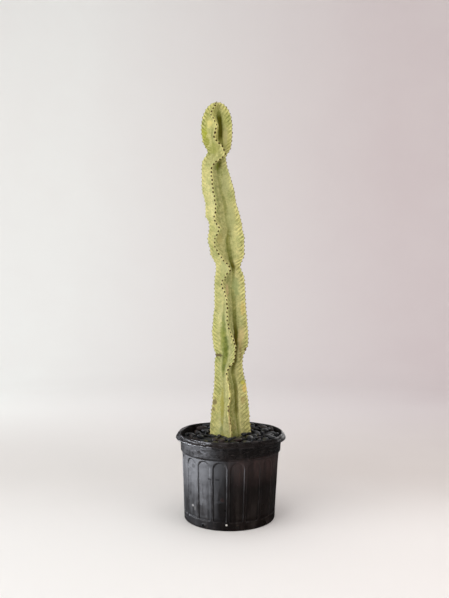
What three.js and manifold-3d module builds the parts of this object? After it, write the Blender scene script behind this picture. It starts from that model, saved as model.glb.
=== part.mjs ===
// A tall four-ribbed succulent column in a black nursery pot, topped with
// polished black river stones. Millimetres, +Z up, front is -Y, +X right.
// Origin: centre of the pot's foot, on the floor.
import * as THREE from "three";
import Module from "manifold-3d";

const wasm = await Module();
wasm.setup();

// ---------------------------------------------------------------- dimensions
const POT_HEIGHT = 298.6;        // floor to the top of the rolled lip
const POT_FOOT_R = 156;          // outer edge of the foot ring
const POT_FOOT_IN_R = 122;       // inner edge of the foot ring
const POT_FOOT_STEP = 5;         // the middle of the floor stands this high
const POT_FLOOR_T = 2.1;         // thickness of the floor
const BODY_R0 = 159.4;           // outside radius of the body at z = 10
const BODY_R1 = 170.4;           // outside radius of the body at the shoulder
const SHOULDER_Z = 233;          // where the body steps out to the upper band
const BAND_R0 = 175.8;           // outside radius of the band, bottom
const BAND_R1 = 177.8;           // outside radius of the band, top
const WALL_T = 2.0;              // wall thickness of the band
const LIP_R = 194.0;             // outermost edge of the rolled lip
const LIP_DROP_Z = 280.6;         // the lip's edge hangs down to here
const POT_LEAN = 5;              // the soft pot stands askew: foot this far left of the rim
const PANELS = 18;               // recessed arched panels round the body
const PANEL_DEPTH = 2.5;
const PANEL_Z0 = 29;             // bottom edge of the panels
const PANEL_Z1 = 229;            // top of each arch
const ARCH_H = 24;               // height of the arched part
const PANEL_PHASE = -2.5;         // degrees, a rib stands here
const DRAIN_W = 16;              // side drain holes, one in every other panel
const DRAIN_Z = [6.5, 15.5];
const SOIL_GAP = 0.4;            // soil to pot, stones to soil
const SOIL_TOP = [[0, 277.2], [60, 275.7], [110, 270.7], [172.8, 264.0]];
const SOIL_TILT = 0.04;         // the heap rises towards the right
const STONE_TRIM = 0.2;          // taken off each half axis so stones stay apart
const SOCKET_GAP = 0.38;         // bed of stones to the stones lying in it
const LOOSE_STONES = 44;         // the first of STONES: the ones lying on top
const DOME_Z = 1359;             // above this the ribs close over the tip
const DOME_H = 100;
const STEM_STEP = 15.2;          // spacing of the stem's cross sections

const DEG = Math.PI / 180;

// The stem by height: z, centre x, centre y, then reach and bearing of the
// front, right, back and left rib, reach of the valleys, half width of a crest.
// Bearings in degrees from the front towards the right.
const STEM = [
  [157,-1.5,0,41.4,0.6,39.9,87,39.9,177,39.8,-93,35.2,7.5],
  [169,-1.5,0,47.1,0.6,45.4,87,45.4,177,45.3,-93,36.5,7.2],
  [181,-1.5,0,52.6,0.6,50.8,87,50.8,177,50.6,-93,37.8,7],
  [193.1,-1.5,0,57.8,0.6,55.8,87,55.8,177,55.6,-93,39,6.7],
  [205.1,-1.5,0,62.5,0.6,60.3,87,60.4,177,60.2,-93,40.3,6.4],
  [217.1,-1.5,0,66.7,0.6,64.3,87,64.3,177,64.2,-93,41.5,6.2],
  [229.1,-1.5,0,70.1,0.6,67.6,87,67.6,177,67.5,-93,42.8,5.9],
  [241.1,-1.5,0,72.7,0.6,70.2,87,70.2,177,70,-93,44.1,5.6],
  [253.2,-1.5,0,74.4,0.7,71.8,87,71.8,177,71.7,-93,45.3,5.4],
  [265.2,-1.5,0,75.2,0.7,72.6,87,72.6,177,72.4,-93,46.6,5.1],
  [277.2,-1.6,0,75.2,0.7,72.6,87,72.6,177,72.5,-93,46.6,5],
  [289.2,-1.7,0,75.1,0.8,72.7,86.9,73.2,176.9,72.4,-93.1,45.1,5],
  [301.2,-1.8,0,74.6,0.9,72.5,86.7,73.5,176.7,72.1,-93.3,43.5,5],
  [313.3,-1.9,0,74,1,71.5,86.3,73.6,176.5,71.5,-93.6,41.7,5],
  [325.3,-2.1,0.2,73,0.7,70.5,85.4,73.4,176.6,71,-94.1,39.9,5],
  [337.3,-2.1,0.3,72,-0.4,69,84.5,73.1,177.1,69.5,-94.5,38,5],
  [349.3,-2.1,0.4,71.1,-2.3,68.2,84.1,72.7,178,68.5,-94.4,36.6,5],
  [361.3,-2.1,0.6,70.1,-4.9,68.3,84.3,72.2,178.6,67.9,-93.6,35.2,5],
  [373.4,-2,0.8,69,-6.2,67,84.9,71.5,177.9,66.6,-92.2,33.7,5],
  [385.4,-2,1,67.7,-7.1,65.1,85.4,70.4,175.5,65.2,-90.8,32.4,5],
  [397.4,-2,1.2,66.4,-6.4,64.2,85.3,69.1,172.1,63.6,-90.5,31.5,5],
  [409.4,-2,1.4,65.1,-3.6,63.3,85,67.7,169.1,62.3,-91.8,30.6,5],
  [421.4,-2.1,1.7,63.8,-2.4,61.5,85.3,66.1,167.9,61.8,-94.2,29.8,5],
  [433.5,-2.2,1.9,62.4,-1.4,60.1,86.6,64.3,168.8,60.5,-96.8,28.8,5],
  [445.5,-2.5,2.2,61,-2.1,59.3,88.9,62.5,170.7,58.4,-98.5,27.9,5],
  [457.5,-2.9,2.5,59.6,-3.7,58.2,90.9,60.5,172.2,57.3,-98.9,27.1,5],
  [469.5,-3.6,2.8,58.1,-4.9,57,91.1,58.4,172.2,56.2,-98.8,26.1,5],
  [481.5,-4.4,3,56.4,-8,54.4,88.7,56.2,171.3,54.9,-99.2,25.2,5],
  [493.6,-5.2,3.3,54.8,-8.8,52.1,84.2,53.9,171.4,53.7,-101.1,24.2,5],
  [505.6,-6,3.6,53.4,-8.9,51.3,79.4,52,174.8,52.9,-103.9,23.2,5],
  [517.6,-6.5,3.9,52.5,-7.4,50.4,76.9,50.5,181.9,52.7,-105.8,22.3,4.9],
  [529.6,-6.7,4.2,52.1,-0.5,49.2,77.7,49.4,190.7,52.9,-105.8,21.7,4.8],
  [541.6,-6.5,4.5,52.3,11.7,48.3,80.9,48.7,198.1,51.9,-103.6,22,4.6],
  [553.7,-5.9,4.8,53.2,17.9,48,84,48.5,201.3,50.6,-100,22.5,4.4],
  [565.7,-5,5.1,54.8,18.3,48.5,84.9,49.4,199,48.3,-96.5,23.4,4.3],
  [577.7,-4,5.4,57,18.4,53.1,83.1,51.8,192.4,51.5,-94.3,23.3,4.4],
  [589.7,-3.2,5.6,59.5,18.3,57.6,80.6,55.1,184.3,57,-94.1,23.4,4.6],
  [601.7,-2.5,5.9,61.8,16.8,63,79.5,58.2,177.5,59.4,-95.5,23.8,4.8],
  [613.8,-2.2,6,63.7,12.4,63.9,81.4,60.6,173.4,61.2,-97.3,24.1,4.9],
  [625.8,-2.1,6,64.9,8.1,63.5,85.3,62.3,171.3,63.1,-98.3,24.3,5],
  [637.8,-2.2,6,65.4,4.6,63.3,89.3,63.4,169.2,64.3,-98.3,25.2,5],
  [649.8,-2.4,5.9,65.4,1.1,63.3,91.1,64,166.2,65.2,-98.2,25.9,5],
  [661.8,-2.6,5.9,64.8,-2.5,62.5,89.8,64,163,63.6,-99.3,26.3,5],
  [673.9,-2.7,5.8,63.9,-5.3,61.7,85.9,63.7,161.4,62.7,-102.3,26.3,5],
  [685.9,-2.8,5.8,62.8,-8,61.1,81.3,63.2,163.2,62.7,-106.3,26.4,5],
  [697.9,-2.8,5.7,61.7,-9.4,60.6,77.9,62.7,168.5,63,-109.6,26.2,5],
  [709.9,-2.9,5.6,60.5,-10.2,59.8,76.6,62,175.4,62.8,-110.3,25.8,5],
  [721.9,-2.9,5.5,59.3,-10.3,58.6,76.7,61.2,180.9,60,-107.9,25.4,5],
  [734,-3,5.4,58.2,-9.6,57.4,76.9,60.3,182.5,56.4,-103.3,24.9,5],
  [746,-3.1,5.3,57.4,-10.2,56.9,75.8,59.6,180,55.3,-98.6,24.5,5],
  [758,-3.3,5.1,56.9,-11.2,56.9,73.5,59.1,175,54.8,-95.7,24.2,5],
  [770,-3.5,5,56.5,-13.5,57.2,71.1,58.6,170.3,54.5,-95.3,24.1,5],
  [782,-3.8,4.8,56.2,-16.6,57.4,70.3,58.2,167.9,54.4,-96.5,24.1,5],
  [794.1,-4,4.6,56,-20.5,56.7,72.4,57.7,167.7,54.3,-97.9,24,5],
  [806.1,-4.3,4.5,55.7,-26.1,55.2,76.9,57,168,54.2,-98.1,23.9,5],
  [818.1,-4.6,4.3,55.3,-30.6,54,82.2,56,166.4,53.9,-96.8,23.6,4.9],
  [830.1,-5.1,4.1,54.5,-26.1,53.3,86.3,54.6,161.3,52.6,-95.1,23.1,4.8],
  [842.1,-5.7,3.9,53.6,-16.3,52.6,88.3,52.5,153.2,51,-94.3,22.2,4.6],
  [854.2,-6.5,3.6,52.5,-6.8,50.2,88.2,49.8,144.7,48.4,-95.4,21,4.4],
  [866.2,-7.4,3.4,51.5,4,45.5,86.5,47.2,139.5,46.2,-98.3,20.9,4.2],
  [878.2,-8.4,3.2,51.1,3.6,42,83.3,45.9,140.8,45.2,-102.3,21.7,4.2],
  [890.2,-9.3,2.9,51.8,-7.3,45.8,79.4,46.8,148.6,46.1,-105.9,20.8,4.3],
  [902.2,-10.3,2.7,53.9,-18.7,51.5,76.1,49.7,159.3,51.5,-107.5,20.5,4.5],
  [914.3,-11.3,2.6,56.9,-25.9,58.7,73.7,53.4,168.1,57.4,-106.8,21.6,4.7],
  [926.3,-12.4,2.6,59.8,-31.6,62.3,71.7,56.4,172,62,-104.7,23.3,4.8],
  [938.3,-13.6,2.6,62,-36.3,64.3,69.1,58.5,171.8,61.4,-102.8,24.6,4.9],
  [950.3,-14.7,2.5,63.5,-39.8,66.6,66.4,59.9,170.3,62,-102.2,25.5,5],
  [962.3,-15.7,2.5,64.5,-39.2,68.6,64.8,61.2,169.9,65.2,-102.7,26.1,5],
  [974.4,-16.6,2.5,64.9,-36.3,68.9,65.8,62.1,171.4,66.2,-102.9,26.4,5],
  [986.4,-17.4,2.4,64.5,-29.8,67.8,69.4,62.1,173.4,64.9,-102,26.4,5],
  [998.4,-18.2,2.4,63.3,-23.3,63.5,74.3,61.4,174,62,-100.4,26,5],
  [1010.4,-19.1,2.4,61.9,-20.4,60.3,78.6,60.5,172.4,58.8,-99.8,25.5,5],
  [1022.4,-20.5,2.3,60.9,-25.7,60.8,80.7,60.1,168.9,57.2,-101.8,25,5],
  [1034.5,-22.3,2.3,60.6,-32.8,60.8,80.5,60.5,165.4,56.5,-105.9,25,5],
  [1046.5,-24.6,2.3,60.8,-32.6,59.9,79.3,61.4,163.4,61.2,-110.1,25.3,5],
  [1058.5,-27.1,2.2,60.9,-28.1,60,78.6,62.4,163.8,66.9,-113,25.4,5],
  [1070.5,-29.6,2.2,60.4,-23.2,59.1,79.2,62.5,166.1,65.9,-114.3,25.2,5],
  [1082.5,-32.1,2.2,59.3,-20.1,57.6,80.7,62,168.9,62.8,-114,24.8,5],
  [1094.6,-34.4,2.1,58.1,-18.9,56,81.4,61.2,170.3,59.8,-112.3,24.3,5],
  [1106.6,-36.7,2.1,57.3,-19,55.2,80,60.9,169.8,56.9,-110,24.2,5],
  [1118.6,-39,2.1,57.1,-18.8,56.4,76,61.2,168.1,57.1,-108.5,24.3,5],
  [1130.6,-41.4,2.1,57.2,-18.4,58.4,70.7,61.8,167,57.9,-108.4,24.3,5],
  [1142.6,-43.7,2.1,57.2,-19.2,60.8,66.2,62.1,168,59.5,-109.2,24.4,5],
  [1154.7,-45.9,2.1,56.7,-17.8,60.7,64.2,61.4,171.1,59.5,-109.4,24.2,5],
  [1166.7,-48,2.1,55.7,-17,58.5,65.4,59.8,174.4,57.1,-107.7,23.7,5],
  [1178.7,-50,2.1,54.3,-16.9,56,68.6,57.6,175.3,54.2,-103.9,23,5],
  [1190.7,-51.8,2.1,52.7,-17.1,53.4,72,55,172.1,51.5,-99.4,22.2,5],
  [1202.7,-53.4,2.1,51,-17.3,51,74,52.2,165.2,49.6,-96.1,21.3,4.9],
  [1214.8,-54.8,2.1,49.2,-15,48.2,74.5,49.3,156.2,48.4,-95.4,20.4,4.8],
  [1226.8,-55.6,2.2,47.8,-8.8,44.6,75.1,46.6,147.5,47.5,-96.9,19.2,4.6],
  [1238.8,-55.6,2.2,47.3,0.8,41.9,78.1,43.9,140.7,47.1,-99.1,18,4.3],
  [1250.8,-54.7,2.3,48,22.2,38.6,84.4,41.3,137.2,46.8,-100.4,17.3,3.9],
  [1262.8,-52.9,2.3,49,37.2,35.1,92,39.1,137.8,42.2,-100.6,18,3.7],
  [1274.9,-50.8,2.4,48.6,37.2,37.3,96,38.3,142,35.8,-100.9,18.4,3.7],
  [1286.9,-48.9,2.5,47.4,28.7,43.6,93.7,39.6,147.6,34.1,-102.4,17.5,3.9],
  [1298.9,-47.6,2.6,47.5,16.6,47.5,86.3,42.6,152.5,41.5,-105.4,17.4,4.3],
  [1310.9,-47.3,2.7,49.4,-1.8,50.4,77.5,46.2,156.3,49,-109.3,18.7,4.6],
  [1322.9,-47.5,2.8,51.9,-10.7,53.8,70.3,49.3,160.7,56.4,-112.9,19.6,4.8],
  [1335,-48.1,3,53.9,-9.2,57.2,66.3,51.6,166.3,58.4,-114.9,19.8,4.9],
  [1347,-48.8,3.1,55.2,-5.1,58.5,65.4,53.2,172.3,59.1,-114.2,19.7,5],
  [1359,-49.3,3.2,56,0.6,58.4,66.8,54.4,176,58.8,-110.7,19.5,5]
];
// The four bearings above the last row, while the ribs close over the tip.
const TIP = [
  [1359, 0.6, 66.8, 176.0, -110.7], [1375, -3.5, 68, 176, -108],
  [1385, -10, 69, 175, -106], [1401, -21, 71, 175, -104],
  [1412, -25, 73, 174, -102], [1427, -17, 75, 173, -99], [1445, -8, 77, 172, -96],
  [1467, -4, 78, 172, -95],
];

// The river stones: centre, turn (w x y z), half axes. The first LOOSE_STONES
// lie uppermost, the others lie among and under them and form the bed.
const STONES = [
  [-6.4,124,286.6,-0.889,-0.408,-0.198,-0.056,22.8,18.4,9.6],
  [121.7,36.9,295.1,-0.785,0.008,-0.02,0.619,20.9,14.4,7.5],
  [71,136.8,291.2,0.011,-0.033,-0.986,0.162,22,18.5,10.2],
  [89.4,59.4,288.1,0.93,-0.355,0.094,0.01,21.2,17.6,8.9],
  [147.4,73.4,286.4,-0.645,0.538,-0.365,0.401,18,15.6,8],
  [-91.4,127.6,291.7,0.251,-0.022,0.244,0.936,17.1,11.6,8.9],
  [115,-102.7,286,-0.493,0.621,-0.556,0.249,20.9,15.8,8.6],
  [124.4,-53,293.7,-0.345,-0.005,-0.001,0.939,18.4,12.8,6.6],
  [163.9,-17.8,285.7,-0.523,0.44,-0.489,0.542,17.2,14.3,7.5],
  [140.2,-74.1,292.5,0.073,0.221,-0.972,-0.048,16.4,13.3,6.9],
  [66.5,-70.4,287.3,-0.729,-0.252,-0.177,-0.611,23,15.7,10.5],
  [122.3,102,291.2,0.947,-0.006,0.094,-0.309,18.8,12.9,7.5],
  [135.3,-16.6,286.2,0.914,-0.102,0.165,0.357,23.3,20.9,10.3],
  [-11.9,159.5,287.2,0.931,-0.355,-0.039,-0.071,21,14.4,8.7],
  [-73.8,141.2,280.9,-0.458,-0.718,-0.333,0.405,19,16.6,7.5],
  [34.1,152.9,289,0.992,-0.086,0.009,-0.097,19.1,16,9.1],
  [-107,106.2,285.9,0.171,-0.075,0.149,0.971,23.3,18.2,11],
  [23.5,-101.9,291,0.897,0.018,0.006,0.442,18.4,12.9,6.9],
  [76.4,-96,285.1,-0.638,-0.539,-0.537,0.114,13.2,10.3,7.7],
  [19.7,91.4,285.1,0.426,-0.542,-0.511,0.513,13.9,11.6,6.4],
  [-84.6,62.5,285,-0.935,-0.015,-0.189,-0.3,20.1,13.8,9.8],
  [99.5,-1.4,286.2,-0.292,0.025,-0.074,0.953,23.2,16.3,10.1],
  [93,-63.2,285.5,0.719,-0.334,-0.09,0.602,15.5,12.7,8.3],
  [35.4,-68.6,285.7,-0.72,-0.015,-0.072,0.69,21.1,18.5,9.9],
  [37,68.2,285.6,-0.818,0.345,0.095,0.45,13.8,12.3,7.6],
  [88.5,32.1,285.8,0.555,-0.014,0.117,0.824,18.7,15.7,9.3],
  [-99,-15.7,281.9,0.556,-0.104,0.257,0.783,22.1,19.4,8.3],
  [-91.9,-113.3,287.4,0.696,0.025,0.042,0.717,19.6,16.5,7.2],
  [101.3,118.4,282.5,-0.268,-0.228,0.529,0.772,16.8,12.5,9.9],
  [-56,-140,285.5,-0.019,0.725,-0.688,0.028,20.8,16.6,9],
  [-139.3,-25,278.1,-0.568,-0.468,0.615,0.283,17.7,15.4,7.1],
  [95.2,-88.8,283,0.54,0.375,-0.406,-0.635,13.8,10.6,8.4],
  [36.4,49.3,284.9,-0.979,0.203,-0.006,0.033,13.3,10.1,7.3],
  [-48.4,151.2,285.2,0.003,0.351,-0.933,0.082,16,13.8,7.2],
  [-33.3,61.7,283.2,-0.041,-0.591,0.804,0.044,19.7,15.8,9],
  [29.4,123.2,281.2,0.913,0.085,-0.018,0.4,16.8,15,10.4],
  [70.7,-141.1,280.4,-0.33,-0.869,0.269,0.251,15.6,13.5,7.3],
  [90.3,-121,280.8,0.226,0.054,-0.013,0.973,22.5,18.6,10.4],
  [-71.9,-72.5,279.9,0.118,-0.052,-0.077,0.989,23.4,20.9,10.9],
  [-33,102,280.9,0.885,-0.12,0.126,-0.432,19.6,16.2,9.3],
  [57.4,30.9,284.4,0.049,-0.179,-0.979,0.08,17.3,12.9,6.5],
  [61.6,79.8,282.3,-0.619,0.103,0.122,0.769,17.2,14.9,7],
  [41.7,-157.2,278.7,-0.792,-0.051,0.609,0.002,12.1,9.9,5.6],
  [58.7,-40.9,283.5,-0.01,-0.487,0.872,0.049,17.1,11.4,6.3],
  [131.9,14,280.6,-0.1,0.042,0.072,0.992,12.2,9.8,6.8],
  [146.5,38.8,281.9,0.272,0.02,0.037,0.961,23.1,18.7,9.5],
  [121.6,73.7,282.5,0.472,-0.046,0.031,0.88,20.9,16.3,9.9],
  [86.6,136.2,275.6,0.955,-0.037,-0.042,-0.292,13.6,11.2,6.6],
  [91.8,89.7,279.5,0.807,-0.043,0.012,0.589,16.2,14.1,6.8],
  [59.6,145.2,274.8,-0.887,0.01,-0.046,-0.459,15.8,11.2,6.4],
  [13,140.8,278.1,-0.055,0.012,0.4,-0.915,12.4,11.5,6.5],
  [5.8,159.2,272.7,-0.025,-0.039,0.033,0.998,18,13.2,6.7],
  [-58,119.3,274.4,0.939,-0.045,0.026,0.342,21.4,15.1,7.9],
  [-105.2,112.9,268,0.018,0.942,-0.331,0.058,12,8.2,6],
  [-85.7,93.4,274.6,0.743,-0.101,0.001,0.662,17.6,15.7,8.6],
  [-157.6,52,270.9,-0.495,0.312,-0.508,0.632,16,12.1,6.3],
  [-138.8,74.6,268.2,0.649,-0.039,0.025,0.759,16.1,14.6,7.6],
  [-157.3,16.1,268.7,0.736,-0.052,0.012,0.675,21.6,14.4,8.8],
  [-110.9,39.2,276.5,0.731,0.266,0.084,0.623,16,13.9,7.2],
  [-151.1,-64.4,265.7,0.576,0.022,0.056,0.816,11.7,8.3,6.4],
  [-87.3,-40.9,277.7,-0.194,-0.058,0.026,0.979,18,13.6,8.8],
  [-107.4,-113.1,271.9,0.087,-0.025,-0.025,0.996,21.1,14.3,10],
  [-83.7,-133.8,275.2,-0.058,0.728,-0.549,0.407,15.7,13.8,9.1],
  [-35.9,-149.1,275.7,-0.553,-0.271,0.169,0.769,19.5,14.2,8.7],
  [-38.3,-89.6,278.3,-0.395,-0.075,0.005,0.916,17.8,15.2,7.5],
  [-20.2,-162.2,275.3,-0.057,-0.525,0.034,0.848,12,9.1,6.5],
  [50.3,-109.2,281.1,-0.771,-0.011,-0.025,0.636,22.7,19.1,9.1],
  [113.4,-70.2,281.7,-0.625,-0.036,0.061,0.777,14.8,13,8.4],
  [132.4,-88.7,279.2,-0.621,-0.015,-0.009,0.784,18.5,12.6,8.2],
  [110,-37.4,282.9,-0.561,0.001,0.004,-0.827,18.8,14.8,8.1],
  [114.9,25.5,282.1,-0.975,0.051,-0.022,-0.217,11.9,9.4,7.3],
  [133.7,95.5,276.6,0.868,-0.012,0.001,-0.496,11.8,8.6,6.1],
  [64.7,112.7,281.2,-0.116,0.001,0.132,0.985,22.5,19.8,9.2],
  [35.6,151.7,273.7,-0.824,0.039,-0.012,-0.565,16.7,13.3,6.2],
  [-24.2,137.7,277.5,-0.938,-0.06,-0.104,-0.326,21.3,15.7,9.7],
  [-1.2,95,279.7,-0.854,0.085,0.003,-0.514,16.8,14.8,7.2],
  [-26.2,161.8,270.6,0.01,-0.07,0.995,-0.066,11.7,9,6.4],
  [-56.1,83.2,277.9,-0.725,0.015,0.019,0.689,19.3,15.2,8],
  [-118.1,93,271.5,0.421,-0.021,0.176,0.889,19.2,16,8.1],
  [-84.3,39.7,277.2,0.993,-0.102,-0.034,-0.056,14.6,13,7.6],
  [-157.2,-12.9,270.8,0.102,0.247,-0.69,-0.673,16,11.1,6.6],
  [-117.4,-29.3,274.2,0.579,-0.006,0.095,0.81,20.1,13.3,8.3],
  [-133.7,-54.9,272.7,-0.499,0.093,0.059,0.86,17.1,13.1,9.6],
  [-42.9,-58.2,281.4,-0.154,0.832,-0.528,0.074,13.9,10.4,8.2],
  [-62.8,-143.5,270,0.625,-0.029,-0.047,0.779,16.5,14.7,6.4],
  [30.1,-140.7,277.8,-0.221,-0.918,-0.329,-0.023,18.6,12.4,7.3],
  [55.8,-149.3,275.6,0.532,0.055,0.027,0.845,13.2,10.2,7.6],
  [143.9,-51.2,280.6,0.952,-0.01,0.021,0.306,22,19.1,8.4],
  [157.9,8.7,281,-0.992,0.124,-0.004,0.015,14.4,11.1,8.7],
  [-90.2,127.9,272.3,-0.936,0.064,0.087,0.335,16.8,13.8,9.8],
  [-121.4,61.2,276.8,0.914,0.078,0.396,0.04,15.2,13.4,8.7],
  [-138.9,37,276,-0.534,0.233,0.011,0.812,23.1,19.1,9.3],
  [-155.1,-37.4,269.7,0.674,-0.072,-0.045,0.733,17,12.9,10.1],
  [-133,-87,268.5,0.036,0.527,0.846,0.07,18.7,13.7,8],
  [-68.5,-109.2,276.2,-0.079,-0.421,-0.899,-0.091,17,14.2,9.8],
  [-18.6,-117.7,278.1,0.164,-0.645,0.745,-0.052,21.8,16.8,7.9],
  [8.5,-95.1,279.8,-0.962,-0.069,0.026,-0.265,18.3,15.2,7],
  [23.9,-161.1,272.5,0.959,-0.022,-0.09,0.268,12.6,9.2,6],
  [113.2,45.6,281.7,0.959,-0.052,0.035,0.275,12.5,10.3,7.4],
  [117.5,108.5,277.6,0.904,-0.032,0.01,0.427,12.8,9.5,7.3],
  [-48.6,150.7,270.9,0.276,-0.01,0.041,0.96,15.4,13.2,7],
  [-98.2,65.4,272.4,0.774,-0.03,-0.011,-0.632,16.4,11.3,6],
  [-59.1,43.4,280.8,0.751,-0.01,-0.059,-0.657,16.3,11.5,8.4],
  [-127.9,5.3,271.4,0.943,-0.041,-0.066,0.323,18.6,15.7,7.4],
  [-96.8,14.6,279.1,0.146,0.987,0.009,-0.067,19.1,15.3,9.1],
  [-109.2,-65.5,274,-0.059,0.282,-0.955,-0.068,16.7,12.4,9.1],
  [-101.9,-88.8,276.6,0.45,-0.867,0.205,-0.067,19.3,14.9,7.5],
  [-45,-120.7,274.7,-0.785,0.04,0.142,-0.601,15,10.5,7.3],
  [14.5,-124.2,281.4,-0.935,0.191,-0.052,-0.295,20.4,14.5,9],
  [-0.5,-152.1,274.6,0.616,-0.043,-0.06,0.784,21,15.2,7.8],
  [63.2,53.9,283,0.03,-0.195,-0.963,0.182,15.7,12.4,6],
  [36.1,93,290.2,0.622,-0.026,-0.122,0.773,14.7,10.4,8.3],
  [-67.8,-25.7,287.5,0.252,0.024,0.03,0.967,13.5,11.5,7.2],
  [80.6,-38.3,290.4,0.358,-0.016,0.02,0.933,13.2,11.4,6],
  [-18.2,-78.5,289,0.498,0.062,-0.003,0.865,12.4,10.9,7.2],
  [-63.8,27.3,295.2,0.146,0.057,0.034,0.987,14.4,12.7,7.6],
  [-59.6,-46.3,289.9,0.941,-0.089,0.003,0.326,12.5,9,6.1],
  [-16.2,78.5,293.8,0.239,-0.027,-0.041,0.97,13.9,12.7,6.4],
  [46.7,-29.2,291.6,0.964,-0.082,0.063,0.246,11.1,7.6,6.1],
  [-24.8,-57.4,288.6,0.24,0.066,-0.091,0.964,10.6,8,5.7],
  [18.4,64.2,281.6,0.779,0.082,0.168,0.598,9.9,7.6,4.8],
  [70,16.5,296.1,0.283,-0.061,0.123,0.949,12.6,11,6.5],
  [-39.8,-40.9,290.7,0.54,0.049,0.162,0.824,10.3,8.9,6],
  [-76.4,-6.1,282.6,0.488,0.109,-0.1,0.86,10.3,7.1,6],
  [-53.9,-29.7,278.5,0.627,-0.032,0.037,0.778,9.7,7.7,4.4],
  [65,-20,289.7,0.388,-0.06,-0.039,0.919,8.8,7.8,4.6],
  [14.3,113.5,293.8,0.809,0.065,0.01,0.584,13.4,9.2,5.9],
  [-61.2,58.6,291.5,0.878,-0.005,0.056,0.475,11.6,9.8,5.4],
  [-42.6,38.8,291.4,0.684,0.028,-0.022,0.728,10.3,7.3,5.6],
  [-54.6,-99.8,290.7,0.631,0.093,-0.045,0.769,13.2,10.8,6.8],
  [9.7,79,295.2,0.382,0.091,0.126,0.911,10.8,7.7,6.1],
  [83.5,-83.6,294.1,0.587,0.025,0.139,0.797,9.3,8.4,4.3],
  [-105.7,-53.6,291.3,0.93,-0.009,0.174,0.324,14.2,12.1,7.2],
  [40.6,36.3,295.9,0.921,-0.144,0.051,0.36,9.3,7.9,4.2],
  [-73,17,283.9,0.943,0.115,0.136,0.282,9.5,7.7,5],
  [76.1,80.3,295.9,0.114,-0.05,-0.084,0.989,14.8,11.8,6.7],
  [77,-24.2,282,0.442,0.005,-0.124,0.888,8.8,7.2,4.5],
  [-45.9,-70.1,291.8,0.813,-0.003,-0.012,0.582,8.7,7.8,5],
  [-67.4,86.2,293.7,0.91,0.052,0.082,0.403,15.2,13.2,8.2],
  [26.5,77.1,296.9,0.42,0.014,0.001,0.907,9.3,6.5,5.1],
  [-118.6,24.2,288,0.816,0.102,-0.043,0.567,11.5,8.3,5.8],
  [50.5,96.4,296.4,0.605,0.167,0.071,0.776,9.6,6.6,4.2],
  [98.1,-27.1,293.4,0.741,0.094,-0.062,0.662,8.7,7.3,3.9],
  [-3.7,-111.5,295,0.781,-0.095,-0.145,0.6,11.7,10.5,6.7],
  [11.8,-75.1,291.3,0.811,0.017,-0.159,0.563,9.3,7.4,5.2],
  [22.2,56.9,295.5,0.29,0.058,0.022,0.955,10.5,8.6,5.8],
  [76.7,10,282.4,0.009,-0.056,-0.17,0.984,9,6.3,4.3],
  [-16.3,104.4,297.5,0.576,0.061,0.02,0.815,11.2,9.5,6],
  [-37.7,84.9,296.1,0.644,-0.001,-0.079,0.761,10.3,8.8,6],
  [-84.7,6.7,292.1,0.871,-0.016,0.106,0.479,9.6,7.9,5.1],
  [-92.9,24.1,295.4,0.948,0.017,0.135,0.287,12.5,11.4,6],
  [108.8,-17.9,297.8,0.751,0.059,0.118,0.648,9.7,6.7,5],
  [96.7,-50.4,296.5,0.779,-0.026,0.046,0.625,9.9,7.3,4.6],
  [-7.8,-93.5,291.2,0.987,0.154,-0.009,0.041,8.5,5.8,4.7],
  [-32.4,-115,290.6,0.723,0.061,-0.144,0.673,14.8,13.4,7.3],
  [-19.8,59,296.2,0.504,-0.063,-0.141,0.85,8.7,7.7,4.6],
  [45.4,-53,300,0.287,-0.05,-0.038,0.956,12.6,9.5,6],
  [61.1,-39.1,299,0.42,-0.11,0.056,0.899,11.5,9,5.4]
];

// ------------------------------------------------------------------- helpers
function noise(x, y, z) {
  return (Math.sin(x * 1.31 + y * 0.47 + 1.7) * Math.sin(y * 1.13 - z * 0.61 + 0.3)
    + Math.sin(z * 1.71 + x * 0.29 + 4.1) * Math.sin(x * 0.83 - y * 1.37)) * 0.5;
}

function lookup(table, z, col) {
  if (z <= table[0][0]) return table[0][col];
  for (let i = 1; i < table.length; i++) {
    if (z <= table[i][0]) {
      const k = (z - table[i - 1][0]) / (table[i][0] - table[i - 1][0]);
      return table[i - 1][col] * (1 - k) + table[i][col] * k;
    }
  }
  return table[table.length - 1][col];
}

// A closed surface grown ring by ring. Rings may have different point counts:
// they are joined by walking round both in step with the bearing of each point.
class Skin {
  constructor() { this.v = []; this.t = []; }
  point(p) { this.v.push(p[0], p[1], p[2]); return this.v.length / 3 - 1; }
  ring(points) { return points.map((p) => this.point(p)); }
  tri(a, b, c) { if (a !== b && b !== c && a !== c) this.t.push(a, b, c); }
  strip(A, B) {              // equal counts
    const n = A.length;
    for (let i = 0; i < n; i++) {
      const j = (i + 1) % n;
      this.tri(A[i], A[j], B[j]);
      this.tri(A[i], B[j], B[i]);
    }
  }
  zip(A, fa, B, fb) {        // fa, fb: bearing fractions 0..1 of the points
    let i = 0, j = 0;
    const n = A.length, m = B.length;
    while (i < n || j < m) {
      const na = i < n ? (i + 1 < n ? fa[i + 1] : fa[0] + 1) : Infinity;
      const nb = j < m ? (j + 1 < m ? fb[j + 1] : fb[0] + 1) : Infinity;
      if (na <= nb) { this.tri(A[i % n], A[(i + 1) % n], B[j % m]); i++; }
      else { this.tri(A[i % n], B[(j + 1) % m], B[j % m]); j++; }
    }
  }
  fanDown(c, A) { const n = A.length; for (let i = 0; i < n; i++) this.tri(c, A[(i + 1) % n], A[i]); }
  fanUp(A, c) { const n = A.length; for (let i = 0; i < n; i++) this.tri(c, A[i], A[(i + 1) % n]); }
  solid() {
    return new wasm.Manifold(new wasm.Mesh({
      numProp: 3, vertProperties: new Float32Array(this.v), triVerts: new Uint32Array(this.t),
    }));
  }
}

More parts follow.
